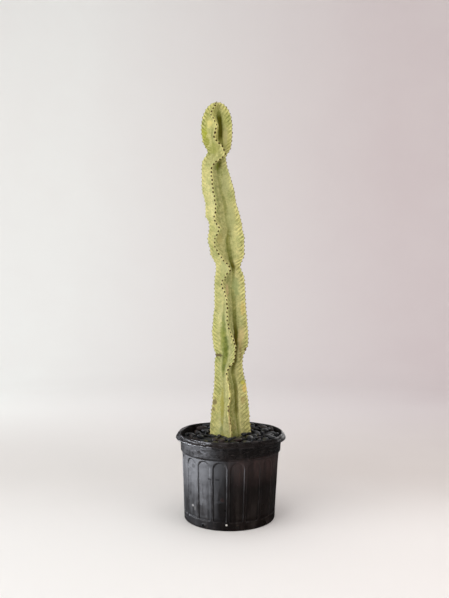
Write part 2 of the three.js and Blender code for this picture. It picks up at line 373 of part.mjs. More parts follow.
// Keeps only the largest connected body of an indexed mesh.
function largestBody(pos, idx) {
  const n = pos.length / 3;
  const up = Array.from({ length: n }, (_, i) => i);
  const find = (a) => { while (up[a] !== a) { up[a] = up[up[a]]; a = up[a]; } return a; };
  for (let i = 0; i < idx.length; i += 3) {
    up[find(idx[i])] = find(idx[i + 1]);
    up[find(idx[i + 1])] = find(idx[i + 2]);
  }
  const count = new Map();
  for (let i = 0; i < idx.length; i += 3) {
    const r = find(idx[i]);
    count.set(r, (count.get(r) || 0) + 1);
  }
  let best = -1, most = 0;
  for (const [r, c] of count) if (c > most) { most = c; best = r; }
  const keep = [];
  for (let i = 0; i < idx.length; i += 3) {
    if (find(idx[i]) === best) keep.push(idx[i], idx[i + 1], idx[i + 2]);
  }
  return keep;
}

function meshOf(name, solid, material) {
  const m = solid.getMesh();
  const np = m.numProp;
  const pos = new Float32Array((m.vertProperties.length / np) * 3);
  for (let i = 0; i < pos.length / 3; i++) {
    for (let k = 0; k < 3; k++) pos[i * 3 + k] = m.vertProperties[i * np + k];
  }
  // points that the joining doubled are named once again
  const from = m.mergeFromVert || [], to = m.mergeToVert || [];
  const same = new Map();
  for (let i = 0; i < from.length; i++) same.set(from[i], to[i]);
  const root = (a) => { while (same.has(a)) a = same.get(a); return a; };
  let idx = Array.from(m.triVerts, root);
  idx = largestBody(pos, idx);
  const used = new Map();
  const out = [];
  const index = idx.map((a) => {
    if (!used.has(a)) { used.set(a, used.size); out.push(pos[a * 3], pos[a * 3 + 1], pos[a * 3 + 2]); }
    return used.get(a);
  });
  return plain(name, out, index, material);
}

function plain(name, pos, index, material) {
  const g = new THREE.BufferGeometry();
  g.setAttribute("position", new THREE.BufferAttribute(new Float32Array(pos), 3));
  g.setIndex(index);
  g.computeVertexNormals();
  const mesh = new THREE.Mesh(g, material);
  mesh.name = name;
  return mesh;
}

const circle = (n, r, z, phase = 0) => Array.from({ length: n }, (_, i) => {
  const a = (phase + (i * 360) / n) * DEG;
  return [r * Math.sin(a), -r * Math.cos(a), z];
});

// ----------------------------------------------------------------------- pot
const bodyR = (z) => BODY_R0 + ((BODY_R1 - BODY_R0) * (z - 10)) / (SHOULDER_Z - 10);
const lean = (z) => (POT_LEAN * (z - POT_HEIGHT)) / POT_HEIGHT;
const leaning = (points) => points.map(([x, y, z]) => [x + lean(z), y, z]);

function makePot() {
  const s = new Skin();
  const even = (n) => Array.from({ length: n }, (_, i) => i / n);
  const step = 360 / PANELS;
  // columns of one panel: rib, its two shoulders, then across the recess
  const cols = [0, 1.2, 2.0, 5.0, 10.0, 15.0, 18.0, 18.8];
  const inRecess = [false, false, true, true, true, true, true, false];
  const fine = [];
  for (let k = 0; k < PANELS; k++) for (const c of cols) fine.push((k * step + c) / 360);
  const archZ = (c) => {
    const half = 8.0;
    const u = Math.min(1, Math.abs(c - 10) / half);
    return PANEL_Z1 - ARCH_H + ARCH_H * Math.sqrt(Math.max(0, 1 - u * u));
  };
  const fineRing = (zOf, rOf) => s.ring(fine.map((f, i) => {
    const c = cols[i % cols.length], rec = inRecess[i % cols.length];
    const a = (f * 360 + PANEL_PHASE) * DEG;
    const z = zOf(c, rec), r = rOf(z, rec);
    return [r * Math.sin(a) + lean(z), -r * Math.cos(a), z];
  }));
  const P = PANEL_PHASE;
  const mid = s.point([lean(POT_FOOT_STEP), 0, POT_FOOT_STEP]);
  let prev, prevF;
  const go = (ring, f) => {
    if (prev.length === ring.length) s.strip(prev, ring); else s.zip(prev, prevF, ring, f);
    prev = ring; prevF = f;
  };
  prev = s.ring(leaning(circle(36, POT_FOOT_IN_R - 6, POT_FOOT_STEP, P))); prevF = even(36);
  s.fanDown(mid, prev);
  go(s.ring(leaning(circle(36, POT_FOOT_IN_R, 0, P))), even(36));
  go(s.ring(leaning(circle(72, POT_FOOT_R, 0, P))), even(72));
  go(s.ring(leaning(circle(72, POT_FOOT_R + 2.4, 1.6, P))), even(72));
  go(s.ring(leaning(circle(72, bodyR(8), 8, P))), even(72));
  go(fineRing(() => PANEL_Z0, (z) => bodyR(z)), fine);
  go(fineRing(() => PANEL_Z0 + 2.2, (z, rec) => bodyR(z) - (rec ? PANEL_DEPTH : 0)), fine);
  go(fineRing((c, rec) => archZ(rec ? c : 10 - 8) - 2.2, (z, rec) => bodyR(z) - (rec ? PANEL_DEPTH : 0)), fine);
  go(fineRing((c, rec) => archZ(rec ? c : 10 - 8), (z) => bodyR(z)), fine);
  go(s.ring(leaning(circle(72, bodyR(SHOULDER_Z), SHOULDER_Z, P))), even(72));
  const lathe = [
    [171.8, 236.2], [BAND_R0 - 0.5, 237.6], [BAND_R0, 240.2], [BAND_R1, 288.0],
    [179.2, 291.0], [182.8, 290.9], [186.8, 287.0], [191.6, 281.2],
    [192.8, LIP_DROP_Z], [LIP_R, LIP_DROP_Z + 1.2], [192.4, 285.0], [188.7, 289.8],
    [184.8, 294.9], [182.6, 297.6], [180.6, POT_HEIGHT], [178.4, 297.2],
    [BAND_R1 - WALL_T, 292.5], [BAND_R0 - WALL_T, 242.5],
    [172.8, 239.8], [168.0, 237.2], [166.0, 233.4],
    [bodyR(9) - PANEL_DEPTH - 1.8, 9], [POT_FOOT_R - 1, POT_FLOOR_T],
  ];
  for (const [r, z] of lathe) go(s.ring(leaning(circle(72, r, z, P))), even(72));
  go(s.ring(leaning(circle(36, POT_FOOT_IN_R + 1, POT_FLOOR_T, P))), even(36));
  go(s.ring(leaning(circle(36, POT_FOOT_IN_R - 5, POT_FOOT_STEP + POT_FLOOR_T, P))), even(36));
  s.fanUp(prev, s.point([lean(POT_FOOT_STEP), 0, POT_FOOT_STEP + POT_FLOOR_T]));
  let pot = s.solid();
  // drain holes: slots low in the wall, round ones in the floor
  const prism = (poly, z0, z1) => {
    const q = new Skin();
    const A = q.ring(poly.map((p) => [p[0], p[1], z0]));
    const B = q.ring(poly.map((p) => [p[0], p[1], z1]));
    const cx = poly.reduce((t, p) => t + p[0], 0) / poly.length;
    const cy = poly.reduce((t, p) => t + p[1], 0) / poly.length;
    q.fanDown(q.point([cx, cy, z0]), A);
    q.strip(A, B);
    q.fanUp(B, q.point([cx, cy, z1]));
    return q.solid();
  };
  for (let k = 0; k < PANELS; k += 2) {
    const a = (PANEL_PHASE + (k + 0.5) * step) * DEG;
    const e = [Math.sin(a), -Math.cos(a)], n = [Math.cos(a), Math.sin(a)];
    const w = DRAIN_W / 2;
    const poly = [[148, -w], [168, -w], [168, w], [148, w]].map(([r, l]) => [r * e[0] + l * n[0] + lean(11), r * e[1] + l * n[1]]);
    pot = pot.subtract(prism(poly, DRAIN_Z[0], DRAIN_Z[1]));
  }
  const round = (cx, cy, r) => prism(circle(12, r, 0).map((p) => [p[0] + cx + lean(6), p[1] + cy]), -1, 9);
  pot = pot.subtract(round(0, 0, 12));
  for (let k = 0; k < 6; k++) {
    const a = (k * 60 + 20) * DEG;
    pot = pot.subtract(round(62 * Math.sin(a), -62 * Math.cos(a), 8));
  }
  return pot;
}

// ---------------------------------------------------------------------- stem
// One cross section: for each rib a narrow crest and two hollow flanks that
// meet the flanks of the ribs beside it in a rounded valley.
function section(z, reach, given, V, t, cx, cy, zOf) {
  const bearing = given.map((a, k) => (k === 3 && a < 0 ? a + 360 : a));
  const pts = [];
  const unit = (a) => [Math.sin(a * DEG), -Math.cos(a * DEG)];
  const valley = [0, 1, 2, 3].map((k) => {
    const a = bearing[k], b = k < 3 ? bearing[k + 1] : bearing[0] + 360;
    return (a + b) / 2;
  });
  const bez = (p0, p1, p2, p3, u) => [0, 1].map((i) => p0[i] * (1 - u) ** 3 + 3 * p1[i] * u * (1 - u) ** 2 + 3 * p2[i] * u * u * (1 - u) + p3[i] * u ** 3);
  for (let k = 0; k < 4; k++) {
    const e = unit(bearing[k]), n = unit(bearing[k] + 90), R = reach[k];
    const flank = (side) => {
      const va = side > 0 ? valley[k] : valley[(k + 3) % 4];
      const ve = unit(va), vt = unit(va - side * 90);
      const tip = [(R - t) * e[0] + side * t * n[0], (R - t) * e[1] + side * t * n[1]];
      const k1 = 0.5 * Math.max(2, R - t - V), k2 = 0.26 * V;
      const pv = [V * ve[0], V * ve[1]];
      return [tip, [tip[0] - k1 * e[0], tip[1] - k1 * e[1]], [pv[0] + k2 * vt[0], pv[1] + k2 * vt[1]], pv];
    };
    const lo = flank(-1), hi = flank(1);
    pts.push(bez(...lo, 0.56), lo[0], [R * e[0], R * e[1]], hi[0], bez(...hi, 0.56), hi[3]);
  }
  return pts.map(([x, y]) => [cx + x, cy + y, zOf ? zOf(Math.hypot(x, y)) : z]);
}

function makeStem(grow) {
  const s = new Skin();
  const T = STEM[STEM.length - 1];
  const rowAt = (z) => {
    const g = (c) => lookup(STEM, z, c);
    return section(z, [g(3) + grow, g(5) + grow, g(7) + grow, g(9) + grow],
      [g(4), g(6), g(8), g(10)], g(11) + grow, g(12) + grow, g(1), g(2));
  };
  const z0 = STEM[0][0];
  const zs = [z0 - grow];
  for (const z of [z0 + 12, z0 + 40, z0 + 75, z0 + 104]) zs.push(z);
  const nz = Math.round((DOME_Z - (z0 + 116)) / STEM_STEP);
  for (let i = 0; i <= nz; i++) zs.push(z0 + 116 + ((DOME_Z - (z0 + 116)) * i) / nz);
  let prev = null;
  for (const z of zs) {
    const ring = s.ring(rowAt(z));
    if (prev) s.strip(prev, ring);
    else s.fanDown(s.point([STEM[0][1], STEM[0][2], z]), ring);
    prev = ring;
  }
  for (const b of [17, 33, 48, 61, 72, 80]) {
    const sc = Math.cos(b * DEG), top = DOME_Z + DOME_H * Math.sin(b * DEG);
    const B = [1, 2, 3, 4].map((c) => lookup(TIP, top, c));
    const reach = [3, 5, 7, 9].map((c) => T[c] * sc + grow);
    const V = T[11] * sc + grow;
    const rmax = Math.max(...reach);
    const t = Math.min(T[12], 0.32 * Math.min(...reach)) + grow;
    const dip = 13 * (1 - sc) ** 0.7;
    const zOf = (r) => top - dip * (1 - Math.min(1, Math.max(0, (r - V) / (rmax - V)))) + grow;
    const ring = s.ring(section(0, reach, B, V, t, T[1], T[2], zOf));
    s.strip(prev, ring);
    prev = ring;
  }
  s.fanUp(prev, s.point([T[1], T[2], DOME_Z + DOME_H - 14 + grow]));
  return s.solid();
}

// -------------------------------------------------------------------- stones
function stoneMatrix([x, y, z, w, qx, qy, qz, a, b, c], trim) {
  const q = new THREE.Quaternion(qx, qy, qz, w).normalize();
  return new THREE.Matrix4().compose(new THREE.Vector3(x, y, z), q,
    new THREE.Vector3(a - trim, b - trim, c - trim));
}

const BALL = (() => {
  const g = new THREE.IcosahedronGeometry(1, 1);
  const p = g.getAttribute("position");
  const key = new Map(), v = [], t = [];
  for (let i = 0; i < p.count; i++) {
    const k = [p.getX(i), p.getY(i), p.getZ(i)].map((c) => Math.round(c * 1e4)).join();
    if (!key.has(k)) { key.set(k, v.length); v.push([p.getX(i), p.getY(i), p.getZ(i)]); }
    t.push(key.get(k));
  }
  return { v, t };
})();

function stone(row, trim, swell, seed) {
  const m = stoneMatrix(row, trim);
  const pos = [];
  for (const [x, y, z] of BALL.v) {
    const k = swell * (1 - (seed === null ? 0 : 0.045 * (0.5 + 0.5 * noise(x * 2 + seed, y * 2 - seed, z * 2))));
    const q = new THREE.Vector3(x * k, y * k, z * k).applyMatrix4(m);
    pos.push(q.x, q.y, q.z);
  }
  return pos;
}

function stoneSolid(row, trim, swell) {
  return new wasm.Manifold(new wasm.Mesh({
    numProp: 3, vertProperties: new Float32Array(stone(row, trim, swell, null)),
    triVerts: new Uint32Array(BALL.t),
  }));
}

const soilTop = (x, y) => lookup(SOIL_TOP, Math.hypot(x, y), 1) + SOIL_TILT * x;

// top of the bed: the backs of the stones that lie in it, from above
function bedTop(x, y) {
  let best = soilTop(x, y) + 2.4;
  for (let i = LOOSE_STONES; i < STONES.length; i++) {
    const row = STONES[i];
    const dx = x - row[0], dy = y - row[1];
    if (dx * dx + dy * dy > 420) continue;
    const e = new THREE.Matrix4().makeRotationFromQuaternion(
      new THREE.Quaternion(row[4], row[5], row[6], row[3]).normalize()).elements;
    const u = [e[0], e[1], e[2]], v = [e[4], e[5], e[6]], w = [e[8], e[9], e[10]];
    const ia = 1 / row[7] ** 2, ib = 1 / row[8] ** 2, ic = 1 / row[9] ** 2;
    const A = (i1, j1) => u[i1] * u[j1] * ia + v[i1] * v[j1] * ib + w[i1] * w[j1] * ic;
    const a = A(2, 2), b = 2 * (A(0, 2) * dx + A(1, 2) * dy);
    const c = A(0, 0) * dx * dx + 2 * A(0, 1) * dx * dy + A(1, 1) * dy * dy - 1;
    const D = b * b - 4 * a * c;
    if (D > 0) best = Math.max(best, row[2] + (-b + Math.sqrt(D)) / (2 * a));
  }
  return best;
}

function makeBed(stemClear) {
  const s = new Skin();
  const N = 60, rad = [40, 62, 80, 98, 116, 134, 152, 165, 172.6];
  const even = Array.from({ length: N }, (_, i) => i / N);
  const low = [30, 60, 110, 172.6];
  let prev = null;
  for (const r of low) {
    const ring = s.ring(circle(N, r, 0).map(([x, y]) => [x, y, soilTop(x, y) + SOIL_GAP]));
    if (prev) s.strip(prev, ring);
    else s.fanDown(s.point([0, 0, soilTop(0, 0) + SOIL_GAP]), ring);
    prev = ring;
  }
  for (const r of rad.slice().reverse()) {
    const ring = s.ring(circle(N, r, 0).map(([x, y]) => [x, y, bedTop(x, y) - 0.3]));
    s.strip(prev, ring);
    prev = ring;
  }
  s.fanUp(prev, s.point([0, 0, soilTop(0, 0) + 8]));
  let bed = s.solid().subtract(stemClear);
  for (let i = 0; i < LOOSE_STONES; i++) {
    bed = bed.subtract(stoneSolid(STONES[i], STONE_TRIM - SOCKET_GAP, 1.0));
  }
  return bed;
}

// ---------------------------------------------------------------------- soil
function makeSoil(stemClear) {
  const s = new Skin();
  const N = 60;
  const g = SOIL_GAP;
  const side = [
    [POT_FOOT_IN_R - 4.8, POT_FOOT_STEP + POT_FLOOR_T + g], [POT_FOOT_IN_R + 1.4, POT_FLOOR_T + g],
    [POT_FOOT_R - 1.6, POT_FLOOR_T + g], [bodyR(9) - PANEL_DEPTH - 1.8 - 0.7, 9.2],
    [165.1, 233.4], [167.2, 238.0], [171.8, 240.4], [172.9, 243.6],
  ];
  let prev = null;
  for (const [r, z] of side) {
    const ring = s.ring(leaning(circle(N, r, z)));
    if (prev) s.strip(prev, ring);
    else s.fanDown(s.point([lean(z), 0, z]), ring);
    prev = ring;
  }
  for (const r of [172.8, 110, 60, 30]) {
    const ring = s.ring(circle(N, r, 0).map(([x, y]) => [x, y, soilTop(x, y)]));
    s.strip(prev, ring);
    prev = ring;
  }
  s.fanUp(prev, s.point([0, 0, soilTop(0, 0)]));
  return s.solid().subtract(stemClear);
}

// ------------------------------------------------------------------ assembly
const potMaterial = new THREE.MeshStandardMaterial({ color: 0x1d1e20, roughness: 0.42, metalness: 0.0 });
potMaterial.name = "pot_plastic";
const soilMaterial = new THREE.MeshStandardMaterial({ color: 0x35281d, roughness: 0.97, metalness: 0.0 });
soilMaterial.name = "potting_mix";
const stemMaterial = new THREE.MeshStandardMaterial({ color: 0xb4b06a, roughness: 0.62, metalness: 0.0 });
stemMaterial.name = "stem_skin";
const stoneMaterial = new THREE.MeshStandardMaterial({ color: 0x232427, roughness: 0.28, metalness: 0.0 });
stoneMaterial.name = "river_stone";

const group = new THREE.Group();
group.name = "potted_ribbed_succulent";

const clear = makeStem(0.36);
group.add(meshOf("nursery_pot", makePot(), potMaterial));
group.add(meshOf("potting_soil", makeSoil(clear), soilMaterial));
group.add(meshOf("stem", makeStem(0), stemMaterial));
group.add(meshOf("pebble_bed", makeBed(clear), stoneMaterial));
for (let i = 0; i < LOOSE_STONES; i++) {
  const name = "pebble_" + String(i + 1).padStart(2, "0");
  group.add(plain(name, stone(STONES[i], STONE_TRIM, 1.0, i * 0.7), BALL.t.slice(), stoneMaterial));
}

export default group;
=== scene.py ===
import math

import bpy
import bmesh
import numpy as np
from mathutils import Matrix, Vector, geometry


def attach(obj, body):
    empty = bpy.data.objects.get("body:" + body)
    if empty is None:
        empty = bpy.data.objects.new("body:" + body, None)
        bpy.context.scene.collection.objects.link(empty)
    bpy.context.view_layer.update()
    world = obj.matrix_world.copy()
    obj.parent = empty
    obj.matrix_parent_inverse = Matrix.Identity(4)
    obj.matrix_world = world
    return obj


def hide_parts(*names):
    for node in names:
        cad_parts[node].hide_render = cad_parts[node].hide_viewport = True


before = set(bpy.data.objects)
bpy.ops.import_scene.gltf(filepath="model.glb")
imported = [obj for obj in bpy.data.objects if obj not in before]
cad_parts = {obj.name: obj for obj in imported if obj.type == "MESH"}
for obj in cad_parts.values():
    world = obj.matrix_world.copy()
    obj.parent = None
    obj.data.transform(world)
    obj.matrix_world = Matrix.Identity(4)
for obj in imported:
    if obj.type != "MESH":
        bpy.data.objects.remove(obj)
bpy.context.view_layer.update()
MM = 0.001
DEG = math.pi / 180

# The stem by height, as in the solid model: z, centre x, centre y, reach and
# bearing of the front, right, back and left rib, reach of the valleys, half
# width of a crest. Millimetres and degrees, bearings from the front to the right.
STEM = np.array([
[157,-1.5,0,41.4,0.6,39.9,87,39.9,177,39.8,-93,35.2,7.5],
[169,-1.5,0,47.1,0.6,45.4,87,45.4,177,45.3,-93,36.5,7.2],
[181,-1.5,0,52.6,0.6,50.8,87,50.8,177,50.6,-93,37.8,7],
[193.1,-1.5,0,57.8,0.6,55.8,87,55.8,177,55.6,-93,39,6.7],
[205.1,-1.5,0,62.5,0.6,60.3,87,60.4,177,60.2,-93,40.3,6.4],
[217.1,-1.5,0,66.7,0.6,64.3,87,64.3,177,64.2,-93,41.5,6.2],
[229.1,-1.5,0,70.1,0.6,67.6,87,67.6,177,67.5,-93,42.8,5.9],
[241.1,-1.5,0,72.7,0.6,70.2,87,70.2,177,70,-93,44.1,5.6],
[253.2,-1.5,0,74.4,0.7,71.8,87,71.8,177,71.7,-93,45.3,5.4],
[265.2,-1.5,0,75.2,0.7,72.6,87,72.6,177,72.4,-93,46.6,5.1],
[277.2,-1.6,0,75.2,0.7,72.6,87,72.6,177,72.5,-93,46.6,5],
[289.2,-1.7,0,75.1,0.8,72.7,86.9,73.2,176.9,72.4,-93.1,45.1,5],
[301.2,-1.8,0,74.6,0.9,72.5,86.7,73.5,176.7,72.1,-93.3,43.5,5],
[313.3,-1.9,0,74,1,71.5,86.3,73.6,176.5,71.5,-93.6,41.7,5],
[325.3,-2.1,0.2,73,0.7,70.5,85.4,73.4,176.6,71,-94.1,39.9,5],
[337.3,-2.1,0.3,72,-0.4,69,84.5,73.1,177.1,69.5,-94.5,38,5],
[349.3,-2.1,0.4,71.1,-2.3,68.2,84.1,72.7,178,68.5,-94.4,36.6,5],
[361.3,-2.1,0.6,70.1,-4.9,68.3,84.3,72.2,178.6,67.9,-93.6,35.2,5],
[373.4,-2,0.8,69,-6.2,67,84.9,71.5,177.9,66.6,-92.2,33.7,5],
[385.4,-2,1,67.7,-7.1,65.1,85.4,70.4,175.5,65.2,-90.8,32.4,5],
[397.4,-2,1.2,66.4,-6.4,64.2,85.3,69.1,172.1,63.6,-90.5,31.5,5],
[409.4,-2,1.4,65.1,-3.6,63.3,85,67.7,169.1,62.3,-91.8,30.6,5],
[421.4,-2.1,1.7,63.8,-2.4,61.5,85.3,66.1,167.9,61.8,-94.2,29.8,5],
[433.5,-2.2,1.9,62.4,-1.4,60.1,86.6,64.3,168.8,60.5,-96.8,28.8,5],
[445.5,-2.5,2.2,61,-2.1,59.3,88.9,62.5,170.7,58.4,-98.5,27.9,5],
[457.5,-2.9,2.5,59.6,-3.7,58.2,90.9,60.5,172.2,57.3,-98.9,27.1,5],
[469.5,-3.6,2.8,58.1,-4.9,57,91.1,58.4,172.2,56.2,-98.8,26.1,5],
[481.5,-4.4,3,56.4,-8,54.4,88.7,56.2,171.3,54.9,-99.2,25.2,5],
[493.6,-5.2,3.3,54.8,-8.8,52.1,84.2,53.9,171.4,53.7,-101.1,24.2,5],
[505.6,-6,3.6,53.4,-8.9,51.3,79.4,52,174.8,52.9,-103.9,23.2,5],
[517.6,-6.5,3.9,52.5,-7.4,50.4,76.9,50.5,181.9,52.7,-105.8,22.3,4.9],
[529.6,-6.7,4.2,52.1,-0.5,49.2,77.7,49.4,190.7,52.9,-105.8,21.7,4.8],
[541.6,-6.5,4.5,52.3,11.7,48.3,80.9,48.7,198.1,51.9,-103.6,22,4.6],
[553.7,-5.9,4.8,53.2,17.9,48,84,48.5,201.3,50.6,-100,22.5,4.4],
[565.7,-5,5.1,54.8,18.3,48.5,84.9,49.4,199,48.3,-96.5,23.4,4.3],
[577.7,-4,5.4,57,18.4,53.1,83.1,51.8,192.4,51.5,-94.3,23.3,4.4],
[589.7,-3.2,5.6,59.5,18.3,57.6,80.6,55.1,184.3,57,-94.1,23.4,4.6],
[601.7,-2.5,5.9,61.8,16.8,63,79.5,58.2,177.5,59.4,-95.5,23.8,4.8],
[613.8,-2.2,6,63.7,12.4,63.9,81.4,60.6,173.4,61.2,-97.3,24.1,4.9],
[625.8,-2.1,6,64.9,8.1,63.5,85.3,62.3,171.3,63.1,-98.3,24.3,5],
[637.8,-2.2,6,65.4,4.6,63.3,89.3,63.4,169.2,64.3,-98.3,25.2,5],
[649.8,-2.4,5.9,65.4,1.1,63.3,91.1,64,166.2,65.2,-98.2,25.9,5],
[661.8,-2.6,5.9,64.8,-2.5,62.5,89.8,64,163,63.6,-99.3,26.3,5],
[673.9,-2.7,5.8,63.9,-5.3,61.7,85.9,63.7,161.4,62.7,-102.3,26.3,5],
[685.9,-2.8,5.8,62.8,-8,61.1,81.3,63.2,163.2,62.7,-106.3,26.4,5],
[697.9,-2.8,5.7,61.7,-9.4,60.6,77.9,62.7,168.5,63,-109.6,26.2,5],
[709.9,-2.9,5.6,60.5,-10.2,59.8,76.6,62,175.4,62.8,-110.3,25.8,5],
[721.9,-2.9,5.5,59.3,-10.3,58.6,76.7,61.2,180.9,60,-107.9,25.4,5],
[734,-3,5.4,58.2,-9.6,57.4,76.9,60.3,182.5,56.4,-103.3,24.9,5],
[746,-3.1,5.3,57.4,-10.2,56.9,75.8,59.6,180,55.3,-98.6,24.5,5],
[758,-3.3,5.1,56.9,-11.2,56.9,73.5,59.1,175,54.8,-95.7,24.2,5],
[770,-3.5,5,56.5,-13.5,57.2,71.1,58.6,170.3,54.5,-95.3,24.1,5],
[782,-3.8,4.8,56.2,-16.6,57.4,70.3,58.2,167.9,54.4,-96.5,24.1,5],
[794.1,-4,4.6,56,-20.5,56.7,72.4,57.7,167.7,54.3,-97.9,24,5],
[806.1,-4.3,4.5,55.7,-26.1,55.2,76.9,57,168,54.2,-98.1,23.9,5],
[818.1,-4.6,4.3,55.3,-30.6,54,82.2,56,166.4,53.9,-96.8,23.6,4.9],
[830.1,-5.1,4.1,54.5,-26.1,53.3,86.3,54.6,161.3,52.6,-95.1,23.1,4.8],
[842.1,-5.7,3.9,53.6,-16.3,52.6,88.3,52.5,153.2,51,-94.3,22.2,4.6],
[854.2,-6.5,3.6,52.5,-6.8,50.2,88.2,49.8,144.7,48.4,-95.4,21,4.4],
[866.2,-7.4,3.4,51.5,4,45.5,86.5,47.2,139.5,46.2,-98.3,20.9,4.2],
[878.2,-8.4,3.2,51.1,3.6,42,83.3,45.9,140.8,45.2,-102.3,21.7,4.2],
[890.2,-9.3,2.9,51.8,-7.3,45.8,79.4,46.8,148.6,46.1,-105.9,20.8,4.3],
[902.2,-10.3,2.7,53.9,-18.7,51.5,76.1,49.7,159.3,51.5,-107.5,20.5,4.5],
[914.3,-11.3,2.6,56.9,-25.9,58.7,73.7,53.4,168.1,57.4,-106.8,21.6,4.7],
[926.3,-12.4,2.6,59.8,-31.6,62.3,71.7,56.4,172,62,-104.7,23.3,4.8],
[938.3,-13.6,2.6,62,-36.3,64.3,69.1,58.5,171.8,61.4,-102.8,24.6,4.9],
[950.3,-14.7,2.5,63.5,-39.8,66.6,66.4,59.9,170.3,62,-102.2,25.5,5],
[962.3,-15.7,2.5,64.5,-39.2,68.6,64.8,61.2,169.9,65.2,-102.7,26.1,5],
[974.4,-16.6,2.5,64.9,-36.3,68.9,65.8,62.1,171.4,66.2,-102.9,26.4,5],
[986.4,-17.4,2.4,64.5,-29.8,67.8,69.4,62.1,173.4,64.9,-102,26.4,5],
[998.4,-18.2,2.4,63.3,-23.3,63.5,74.3,61.4,174,62,-100.4,26,5],
[1010.4,-19.1,2.4,61.9,-20.4,60.3,78.6,60.5,172.4,58.8,-99.8,25.5,5],
[1022.4,-20.5,2.3,60.9,-25.7,60.8,80.7,60.1,168.9,57.2,-101.8,25,5],
[1034.5,-22.3,2.3,60.6,-32.8,60.8,80.5,60.5,165.4,56.5,-105.9,25,5],
[1046.5,-24.6,2.3,60.8,-32.6,59.9,79.3,61.4,163.4,61.2,-110.1,25.3,5],
[1058.5,-27.1,2.2,60.9,-28.1,60,78.6,62.4,163.8,66.9,-113,25.4,5],
[1070.5,-29.6,2.2,60.4,-23.2,59.1,79.2,62.5,166.1,65.9,-114.3,25.2,5],
[1082.5,-32.1,2.2,59.3,-20.1,57.6,80.7,62,168.9,62.8,-114,24.8,5],
[1094.6,-34.4,2.1,58.1,-18.9,56,81.4,61.2,170.3,59.8,-112.3,24.3,5],
[1106.6,-36.7,2.1,57.3,-19,55.2,80,60.9,169.8,56.9,-110,24.2,5],
[1118.6,-39,2.1,57.1,-18.8,56.4,76,61.2,168.1,57.1,-108.5,24.3,5],
[1130.6,-41.4,2.1,57.2,-18.4,58.4,70.7,61.8,167,57.9,-108.4,24.3,5],
[1142.6,-43.7,2.1,57.2,-19.2,60.8,66.2,62.1,168,59.5,-109.2,24.4,5],
[1154.7,-45.9,2.1,56.7,-17.8,60.7,64.2,61.4,171.1,59.5,-109.4,24.2,5],
[1166.7,-48,2.1,55.7,-17,58.5,65.4,59.8,174.4,57.1,-107.7,23.7,5],
[1178.7,-50,2.1,54.3,-16.9,56,68.6,57.6,175.3,54.2,-103.9,23,5],
[1190.7,-51.8,2.1,52.7,-17.1,53.4,72,55,172.1,51.5,-99.4,22.2,5],
[1202.7,-53.4,2.1,51,-17.3,51,74,52.2,165.2,49.6,-96.1,21.3,4.9],
[1214.8,-54.8,2.1,49.2,-15,48.2,74.5,49.3,156.2,48.4,-95.4,20.4,4.8],
[1226.8,-55.6,2.2,47.8,-8.8,44.6,75.1,46.6,147.5,47.5,-96.9,19.2,4.6],
[1238.8,-55.6,2.2,47.3,0.8,41.9,78.1,43.9,140.7,47.1,-99.1,18,4.3],
[1250.8,-54.7,2.3,48,22.2,38.6,84.4,41.3,137.2,46.8,-100.4,17.3,3.9],
[1262.8,-52.9,2.3,49,37.2,35.1,92,39.1,137.8,42.2,-100.6,18,3.7],
[1274.9,-50.8,2.4,48.6,37.2,37.3,96,38.3,142,35.8,-100.9,18.4,3.7],
[1286.9,-48.9,2.5,47.4,28.7,43.6,93.7,39.6,147.6,34.1,-102.4,17.5,3.9],
[1298.9,-47.6,2.6,47.5,16.6,47.5,86.3,42.6,152.5,41.5,-105.4,17.4,4.3],
[1310.9,-47.3,2.7,49.4,-1.8,50.4,77.5,46.2,156.3,49,-109.3,18.7,4.6],
[1322.9,-47.5,2.8,51.9,-10.7,53.8,70.3,49.3,160.7,56.4,-112.9,19.6,4.8],
[1335,-48.1,3,53.9,-9.2,57.2,66.3,51.6,166.3,58.4,-114.9,19.8,4.9],
[1347,-48.8,3.1,55.2,-5.1,58.5,65.4,53.2,172.3,59.1,-114.2,19.7,5],
[1359,-49.3,3.2,56,0.6,58.4,66.8,54.4,176,58.8,-110.7,19.5,5]
], float)
TIP = np.array([
[1359,0.6,66.8,176.0,-110.7],[1375,-3.5,68,176,-108],[1385,-10,69,175,-106],
[1401,-21,71,175,-104],[1412,-25,73,174,-102],[1427,-17,75,173,-99],
[1445,-8,77,172,-96],[1467,-4,78,172,-95],
], float)
DOME_Z, DOME_H = 1359.0, 100.0
PITCH = 14.2                      # from tooth to tooth along a crest

